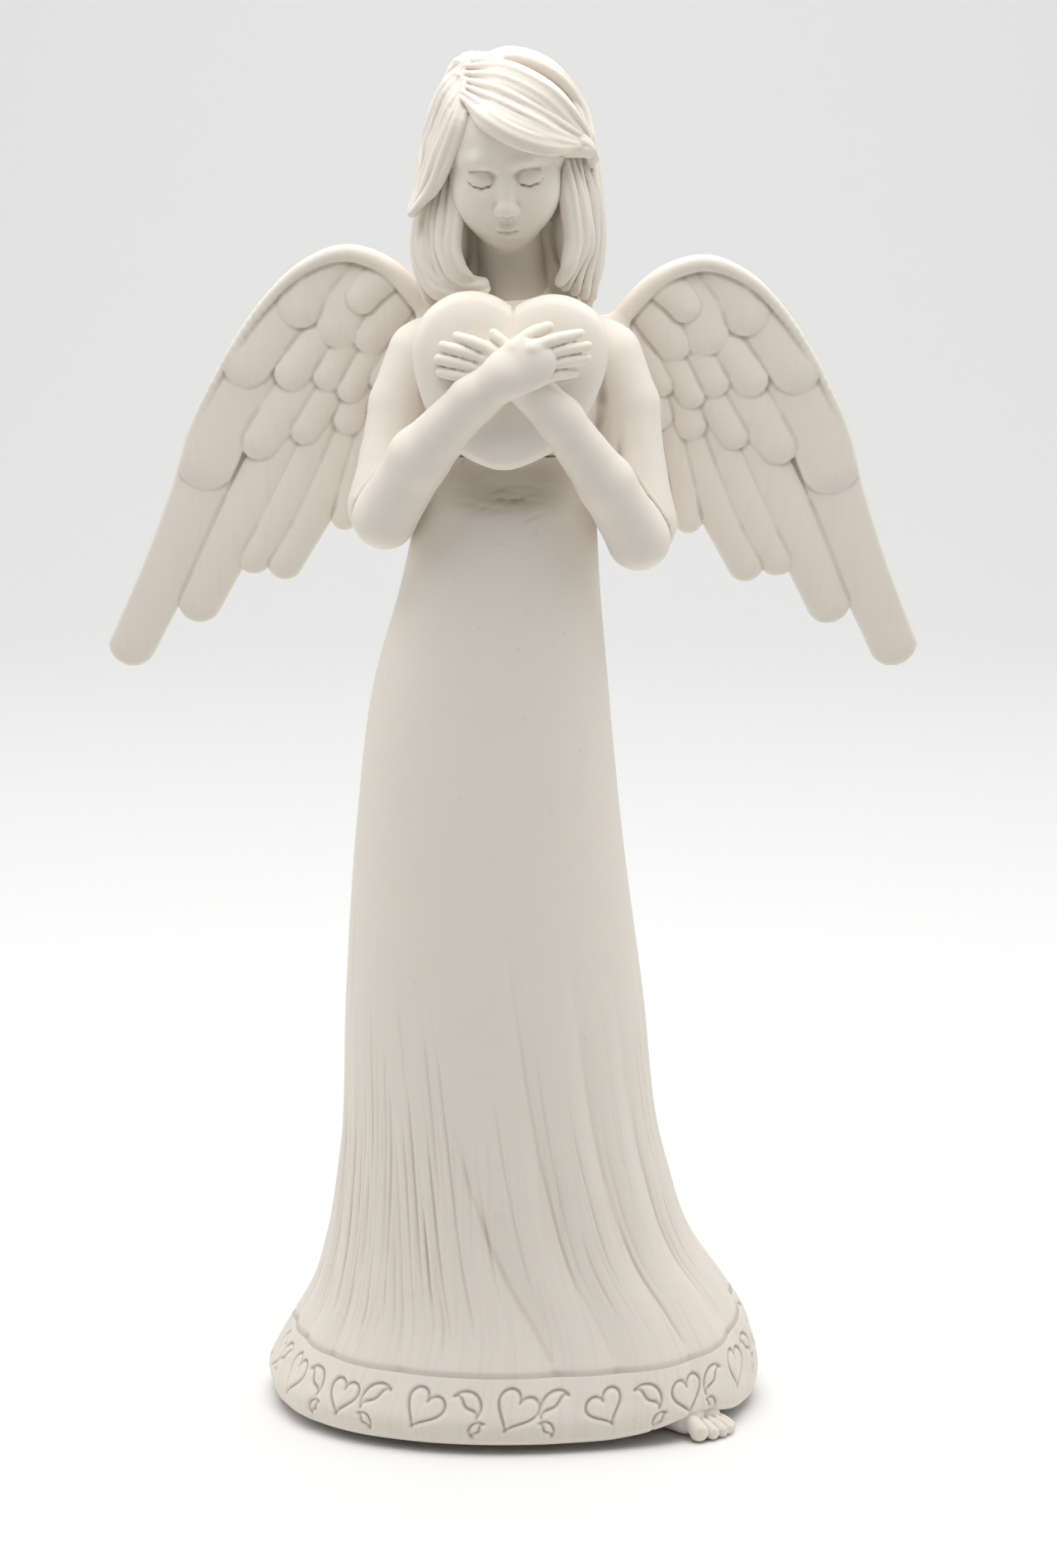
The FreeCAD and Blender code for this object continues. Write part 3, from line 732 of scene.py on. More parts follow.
def palm(centre, across, along, radii):
    """Flattened hand: across runs over the knuckles, and along runs from the wrist to the fingers."""
    along = unit(along)
    across = unit(np.subtract(across, along * np.dot(across, along)))
    turn = np.stack([along, across, np.cross(along, across)], -1)
    return ellipsoid(centre, radii, turn)


def right_arm():
    clay = Clay((-30, -31, 150), (16, -3, 198), 0.30)
    limb(clay, RIGHT_ARM, [5.5, 5.2, 4, 3.7], 1.5)
    clay.rod(RIGHT_ARM[0], (-20.6, -3.4, 168), 5.3, 4.2, 1)
    clay.add(palm((1.6, -25, 186.4), (0.3, 0.1, 1), (1, -0.02, 0.42), (6.4, 4.5, 2.5)), 1.8)
    tips = [(11.6, -22.8, 191.9), (12.9, -22.4, 189.8), (12.8, -22.3, 187.7), (10.7, -22.3, 185.3)]
    for i, tip in enumerate(tips):
        root = np.array([3.4 + 0.2 * i, -25.4 + 0.2 * i, 189.4 - 1.75 * i])
        knuckle = root * 0.5 + np.array(tip) * 0.5 + [0, -0.75, 0.35]
        finger(clay, [root, knuckle, tip], [1.35, 1.16, 1.08, 0.86])
        clay.ball(root + [0.3, -0.5, 0], (1.3, 1.1, 1), 0.9)
    finger(clay, [(0.6, -24.4, 189.4), (3.6, -23.6, 191.9), (6.2, -22.6, 193)], [1.7, 1.3, 1], 0.9)
    # Grooves between the fingers.
    for a, b in (((3, -24, 188.5), (11, -22.4, 190.9)), ((3.2, -24, 186.9), (12, -22.4, 188.7)),
                 ((3.4, -24, 185.2), (11.4, -22.4, 186.4))):
        clay.rod(a, b, 0.22, 0.22, 0.3, cut=True)
    return clay


def left_arm():
    clay = Clay((-16, -30, 146), (30, -3, 198), 0.30)
    limb(clay, LEFT_ARM, [5.4, 4.8, 3.9, 3.7], 1.5)
    clay.rod(LEFT_ARM[0], (20.6, -3.4, 165), 5.2, 4.2, 1)
    clay.add(palm((-2.2, -21.6, 186.2), (-0.35, 0, 1), (-1, -0.02, 0.40), (6.2, 4.2, 2.2)), 1.8)
    tips = [(-9.2, -21.2, 191.3), (-11.6, -21, 189.7), (-12.3, -20.8, 187.5), (-12, -20.6, 185.2)]
    for i, tip in enumerate(tips):
        root = np.array([-3.0 - 0.35 * i, -22.4, 188.6 - 1.65 * i])
        knuckle = root * 0.5 + np.array(tip) * 0.5 + [0, -0.85, 0.25]
        finger(clay, [root, knuckle, tip], [1.35, 1.2, 1.12, 0.9])
    finger(clay, [(0.2, -22, 188.4), (-1.8, -22.2, 190.6), (-3, -21.6, 191.8)], [1.5, 1.1, 0.9], 0.9)
    return clay


# ---- head ----
def head_turn():
    """Columns are the head's own axes in the figurine's frame."""
    c, s = math.cos(HEAD_PITCH), math.sin(HEAD_PITCH)
    pitch = np.array([[1, 0, 0], [0, c, -s], [0, s, c]])
    c, s = math.cos(HEAD_ROLL), math.sin(HEAD_ROLL)
    roll = np.array([[c, 0, -s], [0, 1, 0], [s, 0, c]])
    return roll @ pitch


TURN = head_turn()


def on_head(*points):
    """Points given about the skull's centre, moved to their place on the figurine."""
    return [HEAD_CENTRE + TURN @ (HEAD_SCALE * np.asarray(p, float)) for p in points]


def mirrored(side, *points):
    """Points of one half of the face, on the side asked for."""
    return [(side * x, y, z) for x, y, z in points]


def head():
    """Skull, closed eyes, nose and lips, placed about the skull's centre, and the neck."""
    clay = Clay((-14, -20, 191), (14, 13, 238), 0.27)

    def ball(centre, radii, blend, cut=False):
        clay.ball(on_head(centre)[0], HEAD_SCALE * np.array(radii), blend, TURN, cut)

    def line(points, radii, blend, cut=False):
        limb(clay, on_head(*points), radii, blend, cut=cut)

    ball((0, 1.5, 3), (10.8, 13, 12.2), 0)
    ball((0, -3.4, -3.8), (9.5, 9.4, 11), 4)
    ball((0, -4.4, 5.6), (9.2, 8.3, 7.6), 3)
    ball((0, -8.6, -12), (3.9, 3, 3), 4.5)
    for side in (-1, 1):
        ball((side * 4.3, -8.2, -5.4), (4, 3.7, 4.4), 4.5)
        ball((side * 4.2, -14.2, 0.5), (3, 2.6, 2.2), 2.2, cut=True)
        ball((side * 4.2, -9.95, -0.35), (2.75, 2.3, 2.1), 0.8)
        lid = mirrored(side, (2, -11.7, -0.75), (3, -12.05, -1.45), (4.3, -12.15, -1.75),
                       (5.6, -11.75, -1.45), (6.7, -10.9, -0.7))
        line(lid, [0.16, 0.26, 0.30, 0.26, 0.14], 0.35, cut=True)
        lash = [(x, y + 0.12, z + 0.42) for x, y, z in lid]
        line(lash, [0.14, 0.24, 0.28, 0.26, 0.14], 0.35)
        crease = mirrored(side, (2.4, -11.5, 1.1), (4.2, -12, 1.6), (6.2, -11.2, 0.9))
        line(crease, [0.12, 0.2, 0.12], 0.6, cut=True)
        brow = mirrored(side, (1.8, -11.9, 2.7), (4.4, -11.7, 3.5), (7, -9.6, 2.7))
        line(brow, [0.45, 0.5, 0.3], 2.4)
        ball((side * 1.35, -12.6, -5.9), (0.95, 1.15, 0.85), 0.8)
    line([(0, -11.3, 2), (0, -12.3, -1.2), (0, -13.9, -4.9)], [0.75, 0.85, 1.2], 1.7)
    ball((0, -13.7, -5.4), (1.35, 1.35, 1.15), 0.9)
    for side in (-1, 1):
        ball((side * 0.75, -13.5, -6.85), (0.28, 0.36, 0.17), 0.3, cut=True)
    ball((0, -11.2, -9.9), (3.4, 1.6, 2.2), 1.6)
    upper_lip = [(-2.9, -11.5, -9.75), (-1.1, -12.75, -9.25), (0, -12.75, -9.45), (1.1, -12.75, -9.25),
                 (2.9, -11.5, -9.75)]
    line(upper_lip, [0.28, 0.55, 0.5, 0.55, 0.28], 0.5)
    line([(-1.7, -12.1, -10.75), (0, -12.7, -11.05), (1.7, -12.1, -10.75)], [0.4, 0.72, 0.4], 0.5)
    parting = [(-3, -11.9, -9.9), (-1.1, -13.1, -10), (0, -13.2, -10.15), (1.1, -13.1, -10),
               (3, -11.9, -9.9)]
    line(parting, [0.12, 0.16, 0.18, 0.16, 0.12], 0.25, cut=True)
    line([(0, -13.9, -7.7), (0, -13.9, -8.6)], [0.2, 0.3], 1, cut=True)
    line([(-1.6, -12.5, -12.1), (0, -12.8, -12.3), (1.6, -12.5, -12.1)], [0.25, 0.35, 0.25], 1.2, cut=True)
    limb(clay, [(0.4, 0.6, 191), (0.2, 0, 199), (-0.4, -1, 208)], [7.6, 5.9, 5.6], 0.8, 2)
    return clay


# ---- hair ----
CAP_CENTRE = on_head((0.1, 2.5, 3.2))[0]
CAP_RADII = np.array([12.6, 14, 13.3])
NAPE = (-1, 5, 209)


def on_cap(x, z, lift=0.0, back=False):
    """Point on the hair's cap as seen from the front or the back, or on its rim if it lies outside."""
    m = TURN @ np.diag(1 / (CAP_RADII + lift) ** 2) @ TURN.T
    dx, dz = x - CAP_CENTRE[0], z - CAP_CENTRE[2]
    a = m[1, 1]
    b = 2 * (m[0, 1] * dx + m[1, 2] * dz)
    c = m[0, 0] * dx * dx + 2 * m[0, 2] * dx * dz + m[2, 2] * dz * dz - 1
    root = math.sqrt(max(b * b - 4 * a * c, 0))
    dy = (-b + root) / (2 * a) if back else (-b - root) / (2 * a)
    return np.array([x, CAP_CENTRE[1] + dy, z])


class Hair(Clay):
    """Clay that remembers the nearest lock's own directions, across and along, for the fine strands."""

    def __init__(self, low, high, pitch):
        super().__init__(low, high, pitch)
        self.nearest = np.full(self.shape, FAR, np.float32)
        self.strand = np.zeros((*self.shape, 2), np.float32)
        self.locks = 0

    def lock(self, path, width, thick, blend=0.25, ridges=1.6, middle=None):
        """A flattened, grooved ribbon along a path: full in the middle and pointed at the end."""
        count = 24             # points along the lock
        self.locks += 1
        line = curve_through(path, count)
        middle = CAP_CENTRE if middle is None else np.asarray(middle)
        share = np.linspace(0, 1, count)
        taper = np.clip(0.35 + 3.2 * share, 0, 1) * (1 - 0.66 * np.clip((share - 0.55) / 0.45, 0, 1) ** 1.6)
        wide, thin = width * taper, thick * (0.55 + 0.45 * taper)
        spread = float(wide.max()) + 1.0
        whole, _ = self.window(line.min(0) - spread, line.max(0) + spread)
        found = np.full([cut.stop - cut.start for cut in whole], FAR, np.float32)
        mark = np.zeros((*found.shape, 2), np.float32)
        run = 0.0
        for i in range(count - 1):
            a, b = line[i], line[i + 1]
            part, (px, py, pz) = self.window(np.minimum(a, b) - spread, np.maximum(a, b) + spread)
            here = tuple(slice(p.start - w.start, p.stop - w.start) for p, w in zip(part, whole))
            along = b - a
            size = np.linalg.norm(along)
            along = along / size
            outward = (a + b) / 2 - middle
            outward = unit(outward - along * (outward @ along))
            across = np.cross(along, outward)
            q = (px - a[0], py - a[1], pz - a[2])
            s, u, v = [sum(q[k] * axis[k] for k in range(3)) for axis in (along, across, outward)]
            t = np.clip(s / size, 0, 1)
            w = wide[i] + t * (wide[i + 1] - wide[i])
            h = thin[i] + t * (thin[i + 1] - thin[i])
            k = length(u / w, v / h, (s - t * size) / h)
            d = ((k - 1) * np.minimum(w, h) - 0.10 * np.cos(u * (2 * np.pi / ridges))).astype(np.float32)
            closer = d < found[here]
            found[here] = np.where(closer, d, found[here])
            flow = np.stack(np.broadcast_arrays(u + 7.0 * self.locks, run + t * size), -1)
            mark[here] = np.where(closer[..., None], flow, mark[here])
            run += size
        self.field[whole] = smooth_min(self.field[whole], found, blend)
        closer = found < self.nearest[whole]
        self.nearest[whole] = np.where(closer, found, self.nearest[whole])
        self.strand[whole] = np.where(closer[..., None], mark, self.strand[whole])

    def family(self, first, last, count, width, thick, jitter=0.35, seed=1, middle=None):
        """Locks spread evenly between two paths with the same number of points."""
        rng = np.random.default_rng(seed)
        first, last = np.array(first, float), np.array(last, float)
        for i in range(count):
            share = i / max(count - 1, 1)
            path = first + (last - first) * share + rng.normal(0, jitter, first.shape) * [0.6, 0.36, 0.6]
            path[0] = first[0] + (last[0] - first[0]) * share
            self.lock(path, width * rng.uniform(0.85, 1.15), thick * rng.uniform(0.9, 1.15), middle=middle)

    def strands_at(self, points):
        """Across and along the nearest lock, for each point of the surface."""
        i = np.clip(np.round((points - self.low) / self.pitch).astype(int), 0, self.shape - 1)
        flow = self.strand[i[:, 0], i[:, 1], i[:, 2]]
        return np.concatenate([flow, np.zeros((len(points), 1))], -1)


def back_hair(clay):
    """Over the crown and down to the shoulders behind."""
    c = on_cap
    for i, x in enumerate(np.linspace(-11.6, 11.4, 9)):   # from the -X side of the nape to the +X side
        bow = (x / 14) ** 2
        clay.lock([c(-6.6 + i * 0.6, 237.2, 0.1), c(x * 0.4 - 3.4, 237.3, 0.7, True),
                   c(x * 0.72 - 2, 232.6, 0.5, True), c(x - 1.2, 223, 0.8, True),
                   (x * 1.04 - 0.8, 15.4 - 4.5 * bow, 209), (x * 0.95 - 0.4, 13.2 - 3.0 * bow, 198),
                   (x * 0.80, 11.0 - 2.4 * bow, 188.5 + 2.5 * bow + (i % 3))], 2.9, 1.7)
    clay.family(
        [c(-7.4, 237, 0.2), (-11.4, 1.5, 232.5), (-13.8, 2, 225), (-14.7, 2.5, 216)],
        [c(-6.4, 237.4, 0.2), (-9.4, 7.6, 233.2), (-12.4, 8.6, 226), (-13.8, 8.8, 217)],
        4, 2.4, 1.1, seed=15)
    clay.family(
        [c(-6, 237.4, 0.2), (4.5, 0.6, 236.2), (8.8, 1.8, 231.4), (11.4, 2.2, 224.5)],
        [c(-5.6, 237.6, 0.2), (3, 6.5, 235.4), (7.8, 8, 230.5), (10.8, 8.4, 223.5)],
        4, 2.4, 1.1, seed=16)
    clay.family(
        [c(9.4, 233, 0.3), (12.8, -0.6, 224), (14.7, 1, 213), (14.5, 1.8, 204), (13.4, 1.4, 196.5)],
        [c(5.4, 236, 0.3), (12.4, 6, 226), (14.4, 7, 213), (14.3, 7.6, 203), (12.8, 6.8, 195)],
        3, 2.3, 1.5, seed=5, middle=NAPE)
    clay.family(
        [c(-11, 231.4, 0.3), (-14.6, 1, 221), (-15.7, 1, 211), (-16, 0.6, 204),
         (-14, -0.6, 197)],
        [c(-9, 234.4, 0.3), (-13.6, 7, 222), (-14.9, 7.4, 211), (-15.2, 7.6, 203), (-13, 6.6, 195)],
        3, 2.4, 1.6, seed=6, middle=NAPE)


def side_hair(clay):
    """Beside the face, curling in over the collarbones."""
    clay.family(
        [(-13.8, -1.6, 219), (-15.3, -2, 211), (-15.8, -3, 204.4), (-13, -5, 198.8),
         (-8.6, -6.6, 197.4), (-5, -7.2, 198.6)],
        [(-9.8, -6.4, 218), (-10.6, -7, 211), (-10.6, -7.4, 206), (-9.6, -7.4, 202.4),
         (-7.8, -7.2, 200.6), (-5.6, -6.8, 200.2)],
        6, 1.9, 1.5, seed=7, middle=(-3, 4, 208))
    clay.family(
        [(13, -3, 221), (14.5, -3, 213), (14.8, -2.8, 207), (14, -3, 202), (13.6, -3.2, 197.6)],
        [(9.2, -6.8, 220), (10.2, -6.9, 213), (10.8, -6.6, 207), (9.8, -6.8, 203.2), (8, -6.8, 200)],
        5, 1.7, 1.5, seed=8, middle=(2, 4, 210))


def front_hair(clay):
    """Swept from a side parting: to -X in a small flick, to +X over the forehead into a twist."""
    c = on_cap
    clay.family(
        [c(-7.4, 236.6, 0.4), c(-11.4, 232.8, 0.7), (-14.6, -2.2, 224.6), (-15.4, -3.4, 218),
         (-16.8, -4.8, 212.8)],
        [c(-7.9, 232.4, 0.3), c(-9.4, 227, 0.8), c(-11.4, 222, 1.1), (-13.8, -7.8, 216.6),
         (-17.4, -7.4, 211.4)],
        6, 1.7, 1.1, seed=9)
    clay.family(
        [c(-7.6, 236.2, 0.5), c(-1, 236, 1), c(5.6, 232.8, 1.4), c(10.6, 228, 1.4),
         (13, -4.6, 224.4)],
        [c(-7.8, 230.8, 0.5), c(-3.4, 227, 1.5), c(1.8, 224.4, 2), c(7.4, 223.2, 1.9),
         (12.2, -7.6, 223.4)],
        6, 1.75, 1.25, jitter=0.18, seed=13)
    clay.lock([c(-7.2, 237, 0.3), c(0.2, 238.4, 0.6), c(7, 235.8, 0.9), (11.8, -0.6, 229.8),
               (13.4, -2, 225)], 2.3, 1.3)
    twist = [(7.8, -10.2, 222.8), (10.6, -9, 222.8), (12.8, -7, 222.6), (14.2, -4, 221)]
    clay.lock(twist, 1.6, 1.4)
    twist = [(9.4, -9.8, 224.4), (11.8, -8.4, 223.8), (13.4, -6.2, 222.4), (13.6, -4.6, 220.2)]
    clay.lock(twist, 1.4, 1.2)


def hair():
    """A cap with fuller masses behind and beside the neck, covered in locks, and opened for the face."""
    clay = Hair((-21, -19, 184), (19, 22, 242), 0.26)
    clay.ball(CAP_CENTRE, CAP_RADII, 0, TURN)
    clay.ball((-0.6, 6.6, 211), (13.2, 8.4, 15.5), 3)
    clay.ball((-0.2, 8.2, 198), (12, 5.6, 11), 3)
    clay.ball(on_head((0, -14, -4))[0], (10, 12.3, 13), 1, TURN, cut=True)
    clay.ball((0.6, -8, 200), (9, 12, 9.5), 1, cut=True)
    clay.ball((-11.4, -0.6, 209), (4, 5.8, 11), 1.5)
    clay.ball((11, -0.4, 210), (3.6, 5.6, 10.5), 1.5)
    back_hair(clay)
    side_hair(clay)
    front_hair(clay)
    clay.ball(on_head((0.2, -11.5, -5.2))[0], (7.7, 8.6, 10.6), 0.5, TURN, cut=True)
    return clay


# ---- wings, drawn flat as distance out from the middle and height, then turned back ----
# Each feather: tier from the deepest, points on its middle line, and the half width at each point.
FEATHERS = [
    (0, [(19, 178), (22, 168), (24, 160)], (2.6, 3, 2.8)),
    (0, [(25, 178), (28.4, 166), (30.2, 157.2)], (2.4, 2.8, 2.4)),
    (0, [(27, 180), (34, 162), (41, 149)], (3, 3.6, 3.2)),
    (0, [(31, 180), (41.6, 158), (46.6, 150)], (3.2, 3.8, 3.2)),
    (0, [(37, 180), (50.4, 154), (56.4, 141.8)], (3.8, 4.5, 3.9)),
    (0, [(47, 184), (60.8, 152), (68.6, 134.2)], (4.8, 5.4, 4.3)),
    (1, [(16, 192), (21, 184), (23.4, 176.6)], (2.6, 3, 2.7)),
    (1, [(22, 190), (27.2, 181), (29.2, 174.8)], (2.6, 3.1, 2.8)),
    (1, [(26, 190), (33.4, 179), (37, 173.2)], (2.9, 3.4, 3)),
    (1, [(31, 191), (40, 178), (45.2, 171)], (3.4, 4.2, 3.6)),
    (1, [(40, 194), (49.6, 180), (54.8, 167.4)], (5, 6.2, 5.4)),
    (2, [(15, 196), (19.6, 189), (23.4, 182.6)], (2.6, 2.8, 2.5)),
    (2, [(20, 194), (25.6, 186), (28.8, 180.4)], (2.6, 2.9, 2.6)),
    (2, [(23, 196), (29, 189), (32.6, 182.8)], (2.8, 3.3, 3)),
    (2, [(28, 196), (34.6, 189), (39.2, 183)], (3.2, 3.6, 3.2)),
    (2, [(33, 202), (41.4, 193), (47.2, 185)], (4.4, 5.2, 4.6)),
    (3, [(17, 199), (22, 193.6), (25, 189.8)], (3, 3.6, 3.3)),
    (3, [(25, 201), (28.8, 196.2), (30.4, 191.6)], (4, 4.6, 4.2)),
    (3, [(32, 203), (35.4, 199), (37.4, 195.2)], (4.2, 4.6, 4.2)),
    (4, [(20, 201), (24, 199), (26.4, 196.4)], (2.6, 3.2, 2.9)),
]
# The leading edge, from the root over the arch and down to the tip: out, up, half thickness, depth.
LEADING_EDGE = [
    (8.6, 186.4, 1.6, -2.2), (14.6, 196.3, 1.7, -2.6), (21.3, 203.3, 1.75, -2.8), (29.4, 205.8, 1.65, -2.9),
    (37.6, 202.6, 1.4, -2.7), (44.6, 196, 1.2, -2.2), (51.4, 186, 0.95, -1.5), (57.6, 174, 0.8, -0.9),
    (60.4, 165.4, 0.7, -0.6), (66, 150.2, 0.6, -0.4), (73.4, 133.4, 0.5, -0.4),
]
TIER_STEP, ORDER_STEP = 0.60, 0.035          # depth between tiers, and from one feather to the next
FEATHER_HALF, FEATHER_CROWN = 0.90, 0.80     # half thickness, and how far the middle is raised
# Lower edge of the web that backs the feathers, from the tip inwards.
WEB_EDGE = [(64, 150), (58.8, 141.5), (55, 147), (46.6, 152.2), (41, 154.4), (33, 159),
            (28, 161.5), (20, 166), (10, 178)]
WEB_BACK_Y = 0.6
THICK_WEB_Z = 189          # the web is thicker above this height
BACK_SCALLOPS = ((171, 1.6), (185, 2))   # rows on the wing's back: height at 40 out, and thickness
ARCH_LOW_Z = 176           # the raised rim runs over the arch and ends here


def feather(clay, tier, order, path, halves, envelope):
    """One rounded feather, kept inside the wing's envelope."""
    count = 12
    line = curve_through([(p[0], 0, p[1]) for p in path], count)[:, [0, 2]]
    half = np.interp(np.linspace(0, 2, count), [0, 1, 2], halves)
    reach = max(halves) + 1.5
    level = 0.9 - TIER_STEP * tier - ORDER_STEP * order
    low, high = line.min(0) - reach, line.max(0) + reach
    part, (x, y, z) = clay.window((low[0], level - 3, low[1]), (high[0], level + 3, high[1]))
    flat = np.full((part[0].stop - part[0].start, part[2].stop - part[2].start), FAR)
    share = flat.copy()
    for i in range(count - 1):
        a, along = line[i], line[i + 1] - line[i]
        qx, qz = x[:, 0, :] - a[0], z[:, 0, :] - a[1]
        t = np.clip((qx * along[0] + qz * along[1]) / (along @ along), 0, 1)
        off = np.hypot(qx - t * along[0], qz - t * along[1])
        w = half[i] + t * (half[i + 1] - half[i])
        flat = np.minimum(flat, off - w)
        share = np.minimum(share, off / w)
    flat = np.maximum(flat, envelope[part[0], part[2]] + 0.1)[:, None, :]
    crown = FEATHER_CROWN * (1 - np.clip(share, 0, 1)[:, None, :] ** 2) / 2
    through = np.abs(y - level + 0.5 * crown) - (FEATHER_HALF + 1.3 * crown)
    clay.field[part] = smooth_min(clay.field[part], rounded(flat, through, 0.5).astype(np.float32), 0.15)


def wing_clay():
    """The left wing, on the +X side, lying in the X, Z plane with its front at -Y."""
    clay = Clay((2, -8.5, 126), (76, 6, 210), 0.32)
    edge = curve_through(LEADING_EDGE, 70)
    below = [(75, 132), (75, 124), (4, 124), (4, 180)]
    x, y, z = clay.everywhere()[1]
    envelope = outline_distance(x[:, 0, :], z[:, 0, :], np.vstack([edge[:, :2], below]))
    web = outline_distance(x[:, 0, :], z[:, 0, :], np.vstack([edge[:-8, :2], WEB_EDGE]))[:, None, :]

    def sheet(above, middle_y, half, radius, blend):
        """Joins a rounded sheet over the part of the web above a line."""
        form = rounded(np.maximum(web + 0.3, above - z), np.abs(y - middle_y) - half, radius)
        clay.field = smooth_min(clay.field, form.astype(np.float32), blend)

    sheet(0, WEB_BACK_Y, 0.5, 0.4, 0)
    sheet(THICK_WEB_Z, -0.5, 1.3, 0.6, 0.6)
    for lowest, thick in BACK_SCALLOPS:
        scallops = lowest + 0.10 * (x - 40) - 1.8 * np.abs(np.sin((x - lowest) * 0.42))
        sheet(scallops, WEB_BACK_Y + thick / 2, thick / 2, 0.5, 0.2)
    for order, (tier, path, halves) in enumerate(FEATHERS):
        feather(clay, tier, order, path, halves, envelope)
    along = np.gradient(edge[:, :2], axis=0)
    along /= np.linalg.norm(along, axis=1)[:, None]
    inward = np.stack([along[:, 1], -along[:, 0]], -1)
    middle = edge[:, :2] + inward * edge[:, 2:3] * 0.9
    rim = np.stack([middle[:, 0], edge[:, 3], middle[:, 1]], -1)
    arch = int((edge[:, 1] > ARCH_LOW_Z).sum())
    limb(clay, rim[:arch], edge[:arch, 2] * np.linspace(1, 0.1, arch) ** 0.35, 0.5)
    clay.ball((11.5, -2.7, 186.5), (7, 4.3, 8.5), 2)
    return clay


def place_wing(points, side):
    """Swept back about the root, and curved a little forward to the tip. The left wing leans out more."""
    out = points[:, 0] - WING_HINGE[0]
    y = points[:, 1] + 1.2 - WING_FORWARD_CURVE * np.clip(out, 0, None) ** 2
    c, s = math.cos(WING_SWEEP), math.sin(WING_SWEEP)
    x_new = WING_HINGE[0] + out * c * WING_SPREAD - y * s * 0.5
    y_new = WING_HINGE[1] + out * s * 0.82 + y
    up = points[:, 2]
    if side > 0:
        above_tip = up - WING_TIP_Z
        x_new = x_new + LEFT_WING_LEAN * above_tip
        up = WING_TIP_Z + above_tip * LEFT_WING_HEIGHT
    return np.stack([side * x_new, y_new, up], -1)


# ---- foot ----
# Toes from the big one out: root and tip seen from above, and radius.
TOES = [
    ((30.8, -27.4), (32.6, -30.2), 1.65), ((32.5, -26.4), (35, -29.2), 1.20),
    ((33.8, -25.2), (36.7, -27.7), 1.12), ((34.8, -23.9), (37.8, -26), 1.05),
    ((35.6, -22.6), (38.4, -24.2), 0.95),
]
SOLE_Z = 0.25              # just clear of the floor


def foot():
    clay = Clay((18, -36, -1), (46, -12, 9), 0.24)
    clay.rod((24, -18, 4.6), (30.6, -26, 3.2), 4.4, 3, 0)
    clay.rod((26, -16, 4), (34.2, -23, 2.6), 3.8, 2.4, 1.6)
    for (rx, ry), (tx, ty), r in TOES:
        root, tip = np.array([rx, ry, r + 1]), np.array([tx, ty, r + 0.15])
        middle = (root + tip) / 2 + [0, 0, 0.5]
        finger(clay, [root, middle, tip], [r * 0.95, r * 0.9, r], 0.5)
        nail = tip + unit(tip - root) * r * 0.45 + [0, 0, r * 0.62]
        clay.ball(nail, (r * 0.5, r * 0.5, r * 0.22), 0.1)
    z = clay.everywhere()[1][2]
    clay.field = np.maximum(clay.field, SOLE_Z - z)
    return clay


# ---- assembly ----
def ripple(depth, wave):
    """Gentle unevenness of a hand-finished mould."""
    def offset(p):
        a = np.sin(p[:, 0] / wave + 1.3 * np.sin(p[:, 2] / (wave * 1.7)))
        b = np.sin(p[:, 2] / wave * 0.8 + 1.1 * np.cos(p[:, 1] / wave))
        return depth * a * b
    return offset


PALE = (0.83, 0.765, 0.685)
# Brown of the wash in hollows, also used as painted shade under the heart and the chin.
WASH_AND_SHADE = (0.40, 0.335, 0.265)
gown_resin = resin("gown_resin", PALE, WASH_AND_SHADE, (1.15, 0.035, 1.0), 0.07, 0.12, pit_depth=0.08)
cast_resin = resin("cast_resin", PALE, WASH_AND_SHADE, (0.6, 0.6, 0.08), 0.025, 0.05)
skin_resin = resin("skin_resin", PALE, WASH_AND_SHADE, (0.30, 0.30, 0.30), 0.015, 0.03, 0.006)
feather_resin = resin("feather_resin", PALE, WASH_AND_SHADE, (1.1, 0.5, 0.12), 0.035, 0.05)
hair_resin = resin("hair_resin", PALE, WASH_AND_SHADE, (1.2, 0.08, 1.0), 0.06, 0.12)


def add_clay(name, clay, material, replaced, painted_shade=None, displace=None):
    points, quads = clay.surface()
    # Painted shade for each point, for the pieces that have it.
    painted_shade_values = None if painted_shade is None else painted_shade(points)
    piece = build_mesh(name, points, quads, painted_shade=painted_shade_values, displace=displace)
    return dress(piece, material, "root", replaced)


def painted_neck_shade(points):
    """Painted shade under the chin and round the neck, in the wash colour."""
    return 0.75 * bell(points[:, 2] - NECK_Z, 7.5)


for name, drawn in (("skirt", skirt()), ("hem_band", hem_band())):
    dress(build_mesh(name, *drawn), gown_resin, "root", ["gown"])
add_clay("bodice_and_sleeves", bodice(), cast_resin, ["gown"], displace=ripple(0.10, 3.5))
add_clay("held_heart", heart_shape(), skin_resin, ["heart"], displace=ripple(0.08, 4.0))
add_clay("right_arm", right_arm(), skin_resin, ["right_forearm"])
add_clay("left_arm", left_arm(), skin_resin, ["left_forearm"])
add_clay("face_and_neck", head(), skin_resin, ["head"], painted_neck_shade)
hair_clay = hair()
points, quads = hair_clay.surface()
dress(build_mesh("hair", points, quads, hair_clay.strands_at(points)), hair_resin, "root", ["head"])
add_clay("foot_front", foot(), skin_resin, ["left_foot"])

wing_points, wing_quads = wing_clay().surface()
for name, side, node in (("left_feathers", 1, "left_wing"), ("right_feathers", -1, "right_wing")):
    placed = place_wing(wing_points, side)
    faces = wing_quads if side > 0 else wing_quads[:, ::-1]
    piece = build_mesh(name, placed, faces, flow=wing_points)
    dress(piece, feather_resin, "root", [node])

